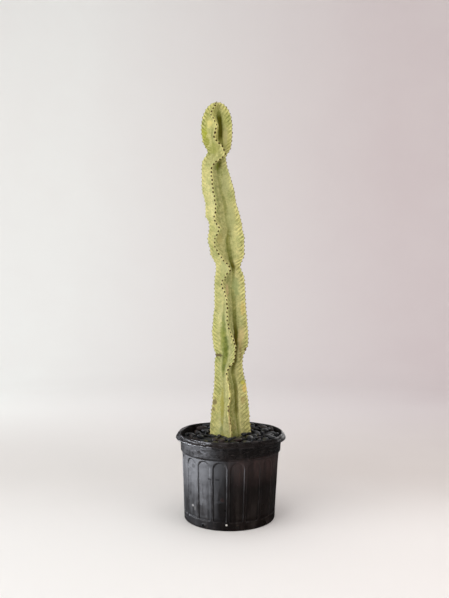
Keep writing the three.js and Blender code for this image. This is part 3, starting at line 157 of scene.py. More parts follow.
# The river stones: centre, turn (w x y z), half axes. The first LOOSE lie
# uppermost, each a piece of its own; the others are the bed.
LOOSE = 44
STONES = np.array([
[-6.4,124,286.6,-0.889,-0.408,-0.198,-0.056,22.8,18.4,9.6],
[121.7,36.9,295.1,-0.785,0.008,-0.02,0.619,20.9,14.4,7.5],
[71,136.8,291.2,0.011,-0.033,-0.986,0.162,22,18.5,10.2],
[89.4,59.4,288.1,0.93,-0.355,0.094,0.01,21.2,17.6,8.9],
[147.4,73.4,286.4,-0.645,0.538,-0.365,0.401,18,15.6,8],
[-91.4,127.6,291.7,0.251,-0.022,0.244,0.936,17.1,11.6,8.9],
[115,-102.7,286,-0.493,0.621,-0.556,0.249,20.9,15.8,8.6],
[124.4,-53,293.7,-0.345,-0.005,-0.001,0.939,18.4,12.8,6.6],
[163.9,-17.8,285.7,-0.523,0.44,-0.489,0.542,17.2,14.3,7.5],
[140.2,-74.1,292.5,0.073,0.221,-0.972,-0.048,16.4,13.3,6.9],
[66.5,-70.4,287.3,-0.729,-0.252,-0.177,-0.611,23,15.7,10.5],
[122.3,102,291.2,0.947,-0.006,0.094,-0.309,18.8,12.9,7.5],
[135.3,-16.6,286.2,0.914,-0.102,0.165,0.357,23.3,20.9,10.3],
[-11.9,159.5,287.2,0.931,-0.355,-0.039,-0.071,21,14.4,8.7],
[-73.8,141.2,280.9,-0.458,-0.718,-0.333,0.405,19,16.6,7.5],
[34.1,152.9,289,0.992,-0.086,0.009,-0.097,19.1,16,9.1],
[-107,106.2,285.9,0.171,-0.075,0.149,0.971,23.3,18.2,11],
[23.5,-101.9,291,0.897,0.018,0.006,0.442,18.4,12.9,6.9],
[76.4,-96,285.1,-0.638,-0.539,-0.537,0.114,13.2,10.3,7.7],
[19.7,91.4,285.1,0.426,-0.542,-0.511,0.513,13.9,11.6,6.4],
[-84.6,62.5,285,-0.935,-0.015,-0.189,-0.3,20.1,13.8,9.8],
[99.5,-1.4,286.2,-0.292,0.025,-0.074,0.953,23.2,16.3,10.1],
[93,-63.2,285.5,0.719,-0.334,-0.09,0.602,15.5,12.7,8.3],
[35.4,-68.6,285.7,-0.72,-0.015,-0.072,0.69,21.1,18.5,9.9],
[37,68.2,285.6,-0.818,0.345,0.095,0.45,13.8,12.3,7.6],
[88.5,32.1,285.8,0.555,-0.014,0.117,0.824,18.7,15.7,9.3],
[-99,-15.7,281.9,0.556,-0.104,0.257,0.783,22.1,19.4,8.3],
[-91.9,-113.3,287.4,0.696,0.025,0.042,0.717,19.6,16.5,7.2],
[101.3,118.4,282.5,-0.268,-0.228,0.529,0.772,16.8,12.5,9.9],
[-56,-140,285.5,-0.019,0.725,-0.688,0.028,20.8,16.6,9],
[-139.3,-25,278.1,-0.568,-0.468,0.615,0.283,17.7,15.4,7.1],
[95.2,-88.8,283,0.54,0.375,-0.406,-0.635,13.8,10.6,8.4],
[36.4,49.3,284.9,-0.979,0.203,-0.006,0.033,13.3,10.1,7.3],
[-48.4,151.2,285.2,0.003,0.351,-0.933,0.082,16,13.8,7.2],
[-33.3,61.7,283.2,-0.041,-0.591,0.804,0.044,19.7,15.8,9],
[29.4,123.2,281.2,0.913,0.085,-0.018,0.4,16.8,15,10.4],
[70.7,-141.1,280.4,-0.33,-0.869,0.269,0.251,15.6,13.5,7.3],
[90.3,-121,280.8,0.226,0.054,-0.013,0.973,22.5,18.6,10.4],
[-71.9,-72.5,279.9,0.118,-0.052,-0.077,0.989,23.4,20.9,10.9],
[-33,102,280.9,0.885,-0.12,0.126,-0.432,19.6,16.2,9.3],
[57.4,30.9,284.4,0.049,-0.179,-0.979,0.08,17.3,12.9,6.5],
[61.6,79.8,282.3,-0.619,0.103,0.122,0.769,17.2,14.9,7],
[41.7,-157.2,278.7,-0.792,-0.051,0.609,0.002,12.1,9.9,5.6],
[58.7,-40.9,283.5,-0.01,-0.487,0.872,0.049,17.1,11.4,6.3],
[131.9,14,280.6,-0.1,0.042,0.072,0.992,12.2,9.8,6.8],
[146.5,38.8,281.9,0.272,0.02,0.037,0.961,23.1,18.7,9.5],
[121.6,73.7,282.5,0.472,-0.046,0.031,0.88,20.9,16.3,9.9],
[86.6,136.2,275.6,0.955,-0.037,-0.042,-0.292,13.6,11.2,6.6],
[91.8,89.7,279.5,0.807,-0.043,0.012,0.589,16.2,14.1,6.8],
[59.6,145.2,274.8,-0.887,0.01,-0.046,-0.459,15.8,11.2,6.4],
[13,140.8,278.1,-0.055,0.012,0.4,-0.915,12.4,11.5,6.5],
[5.8,159.2,272.7,-0.025,-0.039,0.033,0.998,18,13.2,6.7],
[-58,119.3,274.4,0.939,-0.045,0.026,0.342,21.4,15.1,7.9],
[-105.2,112.9,268,0.018,0.942,-0.331,0.058,12,8.2,6],
[-85.7,93.4,274.6,0.743,-0.101,0.001,0.662,17.6,15.7,8.6],
[-157.6,52,270.9,-0.495,0.312,-0.508,0.632,16,12.1,6.3],
[-138.8,74.6,268.2,0.649,-0.039,0.025,0.759,16.1,14.6,7.6],
[-157.3,16.1,268.7,0.736,-0.052,0.012,0.675,21.6,14.4,8.8],
[-110.9,39.2,276.5,0.731,0.266,0.084,0.623,16,13.9,7.2],
[-151.1,-64.4,265.7,0.576,0.022,0.056,0.816,11.7,8.3,6.4],
[-87.3,-40.9,277.7,-0.194,-0.058,0.026,0.979,18,13.6,8.8],
[-107.4,-113.1,271.9,0.087,-0.025,-0.025,0.996,21.1,14.3,10],
[-83.7,-133.8,275.2,-0.058,0.728,-0.549,0.407,15.7,13.8,9.1],
[-35.9,-149.1,275.7,-0.553,-0.271,0.169,0.769,19.5,14.2,8.7],
[-38.3,-89.6,278.3,-0.395,-0.075,0.005,0.916,17.8,15.2,7.5],
[-20.2,-162.2,275.3,-0.057,-0.525,0.034,0.848,12,9.1,6.5],
[50.3,-109.2,281.1,-0.771,-0.011,-0.025,0.636,22.7,19.1,9.1],
[113.4,-70.2,281.7,-0.625,-0.036,0.061,0.777,14.8,13,8.4],
[132.4,-88.7,279.2,-0.621,-0.015,-0.009,0.784,18.5,12.6,8.2],
[110,-37.4,282.9,-0.561,0.001,0.004,-0.827,18.8,14.8,8.1],
[114.9,25.5,282.1,-0.975,0.051,-0.022,-0.217,11.9,9.4,7.3],
[133.7,95.5,276.6,0.868,-0.012,0.001,-0.496,11.8,8.6,6.1],
[64.7,112.7,281.2,-0.116,0.001,0.132,0.985,22.5,19.8,9.2],
[35.6,151.7,273.7,-0.824,0.039,-0.012,-0.565,16.7,13.3,6.2],
[-24.2,137.7,277.5,-0.938,-0.06,-0.104,-0.326,21.3,15.7,9.7],
[-1.2,95,279.7,-0.854,0.085,0.003,-0.514,16.8,14.8,7.2],
[-26.2,161.8,270.6,0.01,-0.07,0.995,-0.066,11.7,9,6.4],
[-56.1,83.2,277.9,-0.725,0.015,0.019,0.689,19.3,15.2,8],
[-118.1,93,271.5,0.421,-0.021,0.176,0.889,19.2,16,8.1],
[-84.3,39.7,277.2,0.993,-0.102,-0.034,-0.056,14.6,13,7.6],
[-157.2,-12.9,270.8,0.102,0.247,-0.69,-0.673,16,11.1,6.6],
[-117.4,-29.3,274.2,0.579,-0.006,0.095,0.81,20.1,13.3,8.3],
[-133.7,-54.9,272.7,-0.499,0.093,0.059,0.86,17.1,13.1,9.6],
[-42.9,-58.2,281.4,-0.154,0.832,-0.528,0.074,13.9,10.4,8.2],
[-62.8,-143.5,270,0.625,-0.029,-0.047,0.779,16.5,14.7,6.4],
[30.1,-140.7,277.8,-0.221,-0.918,-0.329,-0.023,18.6,12.4,7.3],
[55.8,-149.3,275.6,0.532,0.055,0.027,0.845,13.2,10.2,7.6],
[143.9,-51.2,280.6,0.952,-0.01,0.021,0.306,22,19.1,8.4],
[157.9,8.7,281,-0.992,0.124,-0.004,0.015,14.4,11.1,8.7],
[-90.2,127.9,272.3,-0.936,0.064,0.087,0.335,16.8,13.8,9.8],
[-121.4,61.2,276.8,0.914,0.078,0.396,0.04,15.2,13.4,8.7],
[-138.9,37,276,-0.534,0.233,0.011,0.812,23.1,19.1,9.3],
[-155.1,-37.4,269.7,0.674,-0.072,-0.045,0.733,17,12.9,10.1],
[-133,-87,268.5,0.036,0.527,0.846,0.07,18.7,13.7,8],
[-68.5,-109.2,276.2,-0.079,-0.421,-0.899,-0.091,17,14.2,9.8],
[-18.6,-117.7,278.1,0.164,-0.645,0.745,-0.052,21.8,16.8,7.9],
[8.5,-95.1,279.8,-0.962,-0.069,0.026,-0.265,18.3,15.2,7],
[23.9,-161.1,272.5,0.959,-0.022,-0.09,0.268,12.6,9.2,6],
[113.2,45.6,281.7,0.959,-0.052,0.035,0.275,12.5,10.3,7.4],
[117.5,108.5,277.6,0.904,-0.032,0.01,0.427,12.8,9.5,7.3],
[-48.6,150.7,270.9,0.276,-0.01,0.041,0.96,15.4,13.2,7],
[-98.2,65.4,272.4,0.774,-0.03,-0.011,-0.632,16.4,11.3,6],
[-59.1,43.4,280.8,0.751,-0.01,-0.059,-0.657,16.3,11.5,8.4],
[-127.9,5.3,271.4,0.943,-0.041,-0.066,0.323,18.6,15.7,7.4],
[-96.8,14.6,279.1,0.146,0.987,0.009,-0.067,19.1,15.3,9.1],
[-109.2,-65.5,274,-0.059,0.282,-0.955,-0.068,16.7,12.4,9.1],
[-101.9,-88.8,276.6,0.45,-0.867,0.205,-0.067,19.3,14.9,7.5],
[-45,-120.7,274.7,-0.785,0.04,0.142,-0.601,15,10.5,7.3],
[14.5,-124.2,281.4,-0.935,0.191,-0.052,-0.295,20.4,14.5,9],
[-0.5,-152.1,274.6,0.616,-0.043,-0.06,0.784,21,15.2,7.8],
[63.2,53.9,283,0.03,-0.195,-0.963,0.182,15.7,12.4,6],
[36.1,93,290.2,0.622,-0.026,-0.122,0.773,14.7,10.4,8.3],
[-67.8,-25.7,287.5,0.252,0.024,0.03,0.967,13.5,11.5,7.2],
[80.6,-38.3,290.4,0.358,-0.016,0.02,0.933,13.2,11.4,6],
[-18.2,-78.5,289,0.498,0.062,-0.003,0.865,12.4,10.9,7.2],
[-63.8,27.3,295.2,0.146,0.057,0.034,0.987,14.4,12.7,7.6],
[-59.6,-46.3,289.9,0.941,-0.089,0.003,0.326,12.5,9,6.1],
[-16.2,78.5,293.8,0.239,-0.027,-0.041,0.97,13.9,12.7,6.4],
[46.7,-29.2,291.6,0.964,-0.082,0.063,0.246,11.1,7.6,6.1],
[-24.8,-57.4,288.6,0.24,0.066,-0.091,0.964,10.6,8,5.7],
[18.4,64.2,281.6,0.779,0.082,0.168,0.598,9.9,7.6,4.8],
[70,16.5,296.1,0.283,-0.061,0.123,0.949,12.6,11,6.5],
[-39.8,-40.9,290.7,0.54,0.049,0.162,0.824,10.3,8.9,6],
[-76.4,-6.1,282.6,0.488,0.109,-0.1,0.86,10.3,7.1,6],
[-53.9,-29.7,278.5,0.627,-0.032,0.037,0.778,9.7,7.7,4.4],
[65,-20,289.7,0.388,-0.06,-0.039,0.919,8.8,7.8,4.6],
[14.3,113.5,293.8,0.809,0.065,0.01,0.584,13.4,9.2,5.9],
[-61.2,58.6,291.5,0.878,-0.005,0.056,0.475,11.6,9.8,5.4],
[-42.6,38.8,291.4,0.684,0.028,-0.022,0.728,10.3,7.3,5.6],
[-54.6,-99.8,290.7,0.631,0.093,-0.045,0.769,13.2,10.8,6.8],
[9.7,79,295.2,0.382,0.091,0.126,0.911,10.8,7.7,6.1],
[83.5,-83.6,294.1,0.587,0.025,0.139,0.797,9.3,8.4,4.3],
[-105.7,-53.6,291.3,0.93,-0.009,0.174,0.324,14.2,12.1,7.2],
[40.6,36.3,295.9,0.921,-0.144,0.051,0.36,9.3,7.9,4.2],
[-73,17,283.9,0.943,0.115,0.136,0.282,9.5,7.7,5],
[76.1,80.3,295.9,0.114,-0.05,-0.084,0.989,14.8,11.8,6.7],
[77,-24.2,282,0.442,0.005,-0.124,0.888,8.8,7.2,4.5],
[-45.9,-70.1,291.8,0.813,-0.003,-0.012,0.582,8.7,7.8,5],
[-67.4,86.2,293.7,0.91,0.052,0.082,0.403,15.2,13.2,8.2],
[26.5,77.1,296.9,0.42,0.014,0.001,0.907,9.3,6.5,5.1],
[-118.6,24.2,288,0.816,0.102,-0.043,0.567,11.5,8.3,5.8],
[50.5,96.4,296.4,0.605,0.167,0.071,0.776,9.6,6.6,4.2],
[98.1,-27.1,293.4,0.741,0.094,-0.062,0.662,8.7,7.3,3.9],
[-3.7,-111.5,295,0.781,-0.095,-0.145,0.6,11.7,10.5,6.7],
[11.8,-75.1,291.3,0.811,0.017,-0.159,0.563,9.3,7.4,5.2],
[22.2,56.9,295.5,0.29,0.058,0.022,0.955,10.5,8.6,5.8],
[76.7,10,282.4,0.009,-0.056,-0.17,0.984,9,6.3,4.3],
[-16.3,104.4,297.5,0.576,0.061,0.02,0.815,11.2,9.5,6],
[-37.7,84.9,296.1,0.644,-0.001,-0.079,0.761,10.3,8.8,6],
[-84.7,6.7,292.1,0.871,-0.016,0.106,0.479,9.6,7.9,5.1],
[-92.9,24.1,295.4,0.948,0.017,0.135,0.287,12.5,11.4,6],
[108.8,-17.9,297.8,0.751,0.059,0.118,0.648,9.7,6.7,5],
[96.7,-50.4,296.5,0.779,-0.026,0.046,0.625,9.9,7.3,4.6],
[-7.8,-93.5,291.2,0.987,0.154,-0.009,0.041,8.5,5.8,4.7],
[-32.4,-115,290.6,0.723,0.061,-0.144,0.673,14.8,13.4,7.3],
[-19.8,59,296.2,0.504,-0.063,-0.141,0.85,8.7,7.7,4.6],
[45.4,-53,300,0.287,-0.05,-0.038,0.956,12.6,9.5,6],
[61.1,-39.1,299,0.42,-0.11,0.056,0.899,11.5,9,5.4]
], float)

# pot, as in the solid model
POT_H, FOOT_R, FOOT_IN = 298.6, 156.0, 122.0
BODY_R0, BODY_R1, SHOULDER_Z = 159.4, 170.4, 233.0
LEAN = 5.0                        # the soft pot stands askew: foot left of the rim
PANELS, PANEL_DEPTH, PANEL_Z0, PANEL_Z1, ARCH_H, PHASE = 18, 2.5, 29.0, 229.0, 24.0, -2.5


# ------------------------------------------------------------------ utilities
def cubic(table, z, col):
    """Smooth reading of one column of a table by its first column."""
    x, y = table[:, 0], table[:, col]
    m = np.gradient(y, x)
    i = np.clip(np.searchsorted(x, z) - 1, 0, len(x) - 2)
    h = x[i + 1] - x[i]
    t = np.clip((z - x[i]) / h, 0, 1)
    a, b = 2 * t**3 - 3 * t**2 + 1, t**3 - 2 * t**2 + t
    c, d = -2 * t**3 + 3 * t**2, t**3 - t**2
    return a * y[i] + b * h * m[i] + c * y[i + 1] + d * h * m[i + 1]


def waves(p, scale, seed, octaves=3):
    """Soft repeatable noise, about -1 to 1, at points p (n, 3)."""
    rng = np.random.RandomState(seed)
    out = np.zeros(len(p))
    amp, f, total = 1.0, 1.0 / scale, 0.0
    for _ in range(octaves):
        s = np.zeros(len(p))
        for _ in range(5):
            k = rng.normal(size=3)
            k *= 2 * math.pi * f * rng.uniform(0.6, 1.4) / np.linalg.norm(k)
            s += np.sin(p @ k + rng.uniform(0, 6.283))
        out += amp * s / 2.6
        total += amp
        amp, f = amp * 0.5, f * 2.1
    return out / total


def smooth(a, b, x):
    t = np.clip((x - a) / (b - a), 0, 1)
    return t * t * (3 - 2 * t)


def make(name, co, faces, attrs=None, material=None, soft=True):
    """A mesh object from points in millimetres."""
    me = bpy.data.meshes.new(name)
    co = np.asarray(co, np.float64) * MM
    sizes = np.array([len(f) for f in faces], np.int32) if not isinstance(faces, np.ndarray) else np.full(len(faces), faces.shape[1], np.int32)
    flat = np.asarray(faces, np.int32).ravel() if isinstance(faces, np.ndarray) else np.array([i for f in faces for i in f], np.int32)
    me.vertices.add(len(co))
    me.vertices.foreach_set("co", co.astype(np.float32).ravel())
    me.loops.add(len(flat))
    me.loops.foreach_set("vertex_index", flat)
    me.polygons.add(len(sizes))
    starts = np.concatenate([[0], np.cumsum(sizes)[:-1]]).astype(np.int32)
    me.polygons.foreach_set("loop_start", starts)
    me.update(calc_edges=True)
    me.validate()
    if soft:
        me.polygons.foreach_set("use_smooth", np.ones(len(me.polygons), bool))
    for key, value in (attrs or {}).items():
        a = me.attributes.new(key, "FLOAT", "POINT")
        a.data.foreach_set("value", np.asarray(value, np.float32))
    ob = bpy.data.objects.new(name, me)
    bpy.context.scene.collection.objects.link(ob)
    if material is not None:
        me.materials.append(material)
    return ob


def grid_faces(rows, cols, wrap=True, flip=False):
    i = np.arange(rows - 1)[:, None]
    j = np.arange(cols if wrap else cols - 1)[None, :]
    k = (j + 1) % cols
    f = np.stack([i * cols + j, i * cols + k, (i + 1) * cols + k, (i + 1) * cols + j], -1).reshape(-1, 4)
    return f[:, ::-1] if flip else f


# ------------------------------------------------------------------ materials
class Nodes:
    """Short words for building a material's nodes."""

    def __init__(self, name):
        self.m = bpy.data.materials.new(name)
        self.m.use_nodes = True
        self.t = self.m.node_tree
        self.bsdf = self.t.nodes["Principled BSDF"]
        self.obj = self.t.nodes.new("ShaderNodeTexCoord").outputs["Object"]

    def link(self, a, b):
        self.t.links.new(a, b)

    def put(self, socket, value):
        if hasattr(value, "is_output") or isinstance(value, bpy.types.NodeSocket):
            self.link(value, socket)
        elif isinstance(value, (tuple, list)) and len(value) == 3 and socket.type == "RGBA":
            socket.default_value = (*value, 1)
        else:
            socket.default_value = value

    def math(self, op, a, b=None, c=None, clamp=False):
        n = self.t.nodes.new("ShaderNodeMath")
        n.operation, n.use_clamp = op, clamp
        for s, v in zip(n.inputs, (a, b, c)):
            if v is not None:
                self.put(s, v)
        return n.outputs[0]

    def vec(self, op, a, b=None):
        n = self.t.nodes.new("ShaderNodeVectorMath")
        n.operation = op
        self.put(n.inputs[0], a)
        if b is not None:
            self.put(n.inputs[1], b)
        return n.outputs["Value"] if op in ("LENGTH", "DOT_PRODUCT", "DISTANCE") else n.outputs[0]

    def attr(self, name):
        n = self.t.nodes.new("ShaderNodeAttribute")
        n.attribute_name = name
        return n.outputs["Fac"]

    def xyz(self, v):
        n = self.t.nodes.new("ShaderNodeSeparateXYZ")
        self.link(v, n.inputs[0])
        return n.outputs

    def join(self, x, y, z):
        n = self.t.nodes.new("ShaderNodeCombineXYZ")
        for s, v in zip(n.inputs, (x, y, z)):
            self.put(s, v)
        return n.outputs[0]

    def noise(self, scale, detail=3.0, rough=0.5, at=None, distort=0.0):
        n = self.t.nodes.new("ShaderNodeTexNoise")
        self.link(at if at is not None else self.obj, n.inputs["Vector"])
        n.inputs["Scale"].default_value = scale
        n.inputs["Detail"].default_value = detail
        n.inputs["Roughness"].default_value = rough
        n.inputs["Distortion"].default_value = distort
        return n.outputs["Fac"]

    def cells(self, scale, at=None, feature="F1"):
        n = self.t.nodes.new("ShaderNodeTexVoronoi")
        n.feature = feature
        self.link(at if at is not None else self.obj, n.inputs["Vector"])
        n.inputs["Scale"].default_value = scale
        return n.outputs["Distance"]

    def range(self, v, a, b, lo=0.0, hi=1.0, ease=True):
        n = self.t.nodes.new("ShaderNodeMapRange")
        n.interpolation_type = "SMOOTHSTEP" if ease else "LINEAR"
        self.put(n.inputs["Value"], v)
        n.inputs["From Min"].default_value, n.inputs["From Max"].default_value = a, b
        n.inputs["To Min"].default_value, n.inputs["To Max"].default_value = lo, hi
        return n.outputs["Result"]

    def mix(self, fac, a, b):
        n = self.t.nodes.new("ShaderNodeMix")
        n.data_type = "RGBA"
        self.put(n.inputs[0], fac)
        self.put(n.inputs[6], a)
        self.put(n.inputs[7], b)
        return n.outputs[2]

    def times(self, fac, a, b):
        """Darken a by the factors b, as far as fac says."""
        n = self.t.nodes.new("ShaderNodeMix")
        n.data_type, n.blend_type = "RGBA", "MULTIPLY"
        self.put(n.inputs[0], fac)
        self.put(n.inputs[6], a)
        self.put(n.inputs[7], b)
        return n.outputs[2]

    def bump(self, height, strength, distance, normal=None):
        n = self.t.nodes.new("ShaderNodeBump")
        n.inputs["Strength"].default_value = strength
        n.inputs["Distance"].default_value = distance
        self.put(n.inputs["Height"], height)
        if normal is not None:
            self.link(normal, n.inputs["Normal"])
        return n.outputs["Normal"]

    def blob(self, centre, radii, wobble=None):
        """1 near a point in millimetres, 0 outside an ellipsoid round it."""
        d = self.vec("SUBTRACT", self.obj, tuple(c * MM for c in centre))
        d = self.vec("DIVIDE", d, tuple(r * MM for r in radii))
        r = self.vec("LENGTH", d)
        if wobble is not None:
            r = self.math("ADD", r, wobble)
        return self.range(r, 1.0, 0.55)

    def surface(self, **sockets):
        for key, value in sockets.items():
            self.put(self.bsdf.inputs[key.replace("_", " ")], value)


def srgb(r, g, b):
    return tuple((c / 255 / 12.92) if c / 255 <= 0.04045 else ((c / 255 + 0.055) / 1.055) ** 2.4 for c in (r, g, b))


# ----------------------------------------------------------------------- stem
def stem_material():
    n = Nodes("stem_skin_wax")
    along, dist, valley, rib, valley_green_and_shade = n.attr("along"), n.attr("dist"), n.attr("valley"), n.attr("rib"), n.attr("valley_green_and_shade")
    stripe, moss, dull_and_shade = n.attr("stripe"), n.attr("moss"), n.attr("dull_and_shade")
    cream_and_painted_light, worn = n.attr("cream_and_painted_light"), n.attr("worn")
    patch = n.noise(7.0, 3, 0.55)
    mid = n.noise(42.0, 4, 0.55)
    fine = n.noise(330.0, 4, 0.6)
    # streaks run from each tooth down and inward, so they meet in a herringbone
    slant = n.math("MULTIPLY_ADD", dist, 0.78, along)
    slant = n.math("ADD", slant, n.math("MULTIPLY", n.math("SUBTRACT", mid, 0.5), 7.0))
    slant = n.math("ADD", slant, n.math("MULTIPLY", n.math("SUBTRACT", n.noise(120.0, 2, 0.5), 0.5), 3.0))
    wave = n.math("SINE", n.math("MULTIPLY", slant, 2 * math.pi / PITCH))
    wave = n.range(wave, -0.10, 0.75)
    # broken dashes lying along the streaks
    dash_at = n.join(n.math("MULTIPLY", slant, 1 / 3.6), n.math("MULTIPLY", dist, 1 / 15.0), n.math("MULTIPLY", rib, 7.3))
    dash = n.range(n.noise(1.0, 3, 0.6, at=dash_at), 0.46, 0.60)
    thin_at = n.join(n.math("MULTIPLY", slant, 1 / 1.7), n.math("MULTIPLY", dist, 1 / 11.0), n.math("MULTIPLY", rib, 3.9))
    thin = n.range(n.noise(1.0, 2, 0.6, at=thin_at), 0.50, 0.66)
    reach_in = n.math("SUBTRACT", dist, n.math("MULTIPLY", n.range(n.xyz(n.obj)[2], 0.56, 0.44), 14.0))
    near = n.range(n.math("ADD", reach_in, n.math("MULTIPLY", n.math("SUBTRACT", n.noise(22.0, 3), 0.5), 18.0)), 31.0, 10.0)
    edge = n.range(dist, 7.5, 2.5)
    greener = n.range(patch, 0.38, 0.66)

    height = n.xyz(n.obj)[2]
    pale = srgb(246, 240, 164)
    leaf = srgb(204, 201, 137)
    sage = srgb(182, 186, 126)
    green = n.mix(moss, srgb(110, 114, 40), srgb(114, 132, 42))
    dark = n.mix(moss, srgb(82, 80, 8), n.mix(n.range(mid, 0.42, 0.60), srgb(100, 112, 20), srgb(140, 146, 64)))
    face = n.mix(greener, leaf, sage)
    # yellower low down and in the youngest growth
    young = n.math("MAXIMUM", n.range(height, 0.56, 0.42), n.range(height, 1.24, 1.32))
    face = n.mix(n.math("MULTIPLY", young, 0.66), face, srgb(190, 188, 92))
    # duller olive skin; on the front rib's right flank, turned from the light, it is painted shade
    face = n.mix(n.math("MULTIPLY", dull_and_shade, n.range(dist, 2.0, 9.0)), face, srgb(136, 134, 84))
    # the hollow of each valley: greyer, with long soft lengthwise bands
    face = n.mix(n.math("MULTIPLY", n.range(valley, 30.0, 8.0), 0.55), face, srgb(180, 180, 122))
    band_at = n.join(n.math("MULTIPLY", valley, 1 / 6.0), n.math("MULTIPLY", along, 1 / 150.0), n.math("MULTIPLY", rib, 3.1))
    band = n.range(n.noise(1.0, 3, 0.55, at=band_at), 0.44, 0.60)
    face = n.mix(n.math("MULTIPLY", n.math("MULTIPLY", band, n.range(valley, 26.0, 6.0)), n.range(valley_green_and_shade, 0.0, 1.0, 0.10, 0.62, ease=False)), face, green)
    # broad faces in pale cream: partly the skin's own cream, partly painted light on the faces turned to the window
    face = n.mix(n.math("MULTIPLY", cream_and_painted_light, n.range(mid, 0.30, 0.60, 0.62, 1.0)), face, srgb(217, 212, 150))
    # the deep floor of each valley: olive or leaf green skin, darkened further as painted shade
    ragged = n.math("ADD", valley, n.math("MULTIPLY", n.math("SUBTRACT", n.noise(30.0, 3), 0.5), 7.0))
    ragged = n.math("DIVIDE", ragged, n.math("ADD", n.math("MULTIPLY", moss, 0.18), n.math("ADD", 0.50, n.math("MULTIPLY", valley_green_and_shade, 0.80))))
    deep = n.math("MULTIPLY", n.range(ragged, 12.0, 4.0), valley_green_and_shade)
    face = n.mix(n.math("MULTIPLY", deep, 0.96), face, n.mix(n.range(valley_green_and_shade, 0.55, 1.0), green, dark))
    # streaks: green between the teeth, cream on them
    streak = n.math("MULTIPLY", n.math("MAXIMUM", n.math("MULTIPLY", wave, 0.85), n.math("MULTIPLY", dash, 0.75)), near)
    streak = n.math("MULTIPLY", streak, n.range(patch, 0.30, 0.60, 0.70, 1.0))
    streak = n.math("MULTIPLY", streak, stripe)
    light = n.math("MULTIPLY", n.range(dist, 25.0, 5.0), n.math("SUBTRACT", 1.0, wave))
    light = n.math("MULTIPLY", light, n.range(worn, 0.3, 1.0, 1.0, 0.30))
    face = n.mix(n.math("MULTIPLY", n.math("MULTIPLY", light, n.range(stripe, 0.0, 1.0, 0.30, 1.0, ease=False)), 0.88), face, pale)
    face = n.mix(n.math("MULTIPLY", streak, 0.92), face, green)
    face = n.mix(n.math("MULTIPLY", n.math("MULTIPLY", thin, near), n.range(stripe, 0.0, 1.0, 0.22, 0.50, ease=False)), face, srgb(142, 144, 70))
    # blotches of darker and of brighter tissue, a few millimetres across
    blotch = n.noise(85.0, 4, 0.62)
    lit = n.math("SUBTRACT", 1.0, deep)
    face = n.times(n.math("MULTIPLY", n.range(blotch, 0.52, 0.68), n.range(cream_and_painted_light, 0.5, 0.9, 0.75, 0.35)), face, (0.64, 0.69, 0.60))
    face = n.mix(n.math("MULTIPLY", n.range(blotch, 0.47, 0.34, 0.0, 0.36), lit), face, srgb(230, 226, 156))
    rim = n.math("MULTIPLY", n.range(dist, 5.6, 1.6), n.math("SUBTRACT", 1.0, n.math("MULTIPLY", streak, 0.55)))
    face = n.mix(n.math("MULTIPLY", rim, n.range(n.math("ADD", worn, dull_and_shade), 0.0, 0.9, 0.72, 0.26)), face, n.mix(worn, srgb(232, 224, 156), srgb(206, 194, 140)))
    face = n.times(n.range(fine, 0.42, 0.75, 0.0, 0.8), face, (0.74, 0.78, 0.72))
    grain = n.noise(175.0, 3, 0.55)
    face = n.times(n.range(grain, 0.46, 0.62, 0.0, 0.75), face, (0.78, 0.81, 0.76))
    big = n.noise(26.0, 3, 0.5)
    face = n.times(n.range(big, 0.46, 0.62), face, (0.82, 0.86, 0.82))
    # horny, greyed crest
    horn = n.math("MULTIPLY", n.range(dist, 2.6, 0.6), n.range(n.noise(75.0, 3, 0.6), 0.45, 0.62))
    face = n.mix(n.math("MULTIPLY", horn, 0.45), face, srgb(150, 130, 92))
    bark = n.math("MULTIPLY", n.range(dist, 13.0, 1.0), n.range(n.noise(95.0, 4, 0.65), 0.46, 0.55))
    face = n.times(n.math("MULTIPLY", bark, worn), face, (0.40, 0.32, 0.30))
    # freckles and small scars, thicker towards the base
    low = n.range(height, 0.80, 0.28)
    freck = n.range(n.cells(170.0), 0.20, 0.10)
    freck = n.math("MULTIPLY", freck, n.range(n.noise(16.0, 2), 0.50, 0.68))
    face = n.mix(n.math("MULTIPLY", freck, 0.5), face, srgb(120, 100, 66))
    cork = n.math("MULTIPLY", n.range(n.noise(34.0, 5, 0.65), 0.60, 0.72), low)
    face = n.mix(n.math("MULTIPLY", cork, 0.40), face, srgb(158, 140, 98))
    # marks on the skin: scars and patches of colour; the first is painted shadow deep in the front–right valley
    wob = n.math("MULTIPLY", n.math("SUBTRACT", n.noise(90.0, 4, 0.6), 0.5), 1.3)
    for centre, radii, colour, amount in MARKS:
        face = n.mix(n.math("MULTIPLY", n.blob(centre, radii, wob), amount), face, srgb(*colour))
    face = n.times(1.0, face, (1.0, 0.968, 0.965))
    n.surface(Base_Color=face)
    n.surface(Roughness=n.range(mid, 0.3, 0.7, 0.60, 0.74, ease=False))
    n.bsdf.inputs["Specular IOR Level"].default_value = 0.05
    n.bsdf.inputs["Subsurface Weight"].default_value = 0.0
    b = n.bump(n.math("MULTIPLY", streak, -1.0), 0.5, 0.0012)
    b = n.bump(fine, 0.22, 0.0006, b)
    b = n.bump(n.noise(900.0, 2), 0.10, 0.0003, b)
    n.surface(Normal=b)
    return n.m


# How green and dark each valley is, by height in millimetres: between front and
# right rib, right and back, back and left, left and front. The green is the skin's
# own; the darkness is partly painted shade in the deep hollows.
VALLEY_GREEN_AND_SHADE = [
    ([157, 350, 375, 450, 500, 550, 650, 720, 780, 850, 880, 920, 1000, 1060, 1200, 1232, 1250, 1300, 1335, 1400, 1430, 1464],
     [.45, .50, .85, .85, .70, 1.0, 1.0, .70, .50, .35, 1.0, .70, .66, .40, .30, .95, .80, .50, 1.0, 1.0, .45, .30]),
    ([157, 520, 600, 860, 900, 960, 1240, 1300, 1464], [.5, .6, .8, .4, .75, .35, .3, .7, .4]),
    ([157, 520, 600, 860, 900, 960, 1240, 1300, 1464], [.5, .5, .7, .35, .6, .3, .35, .6, .4]),
    ([157, 300, 480, 520, 600, 680, 760, 880, 1250, 1330, 1400, 1464],
     [.42, .45, .40, 1.0, 1.0, .80, .25, .08, .05, .40, .30, .10]),
]

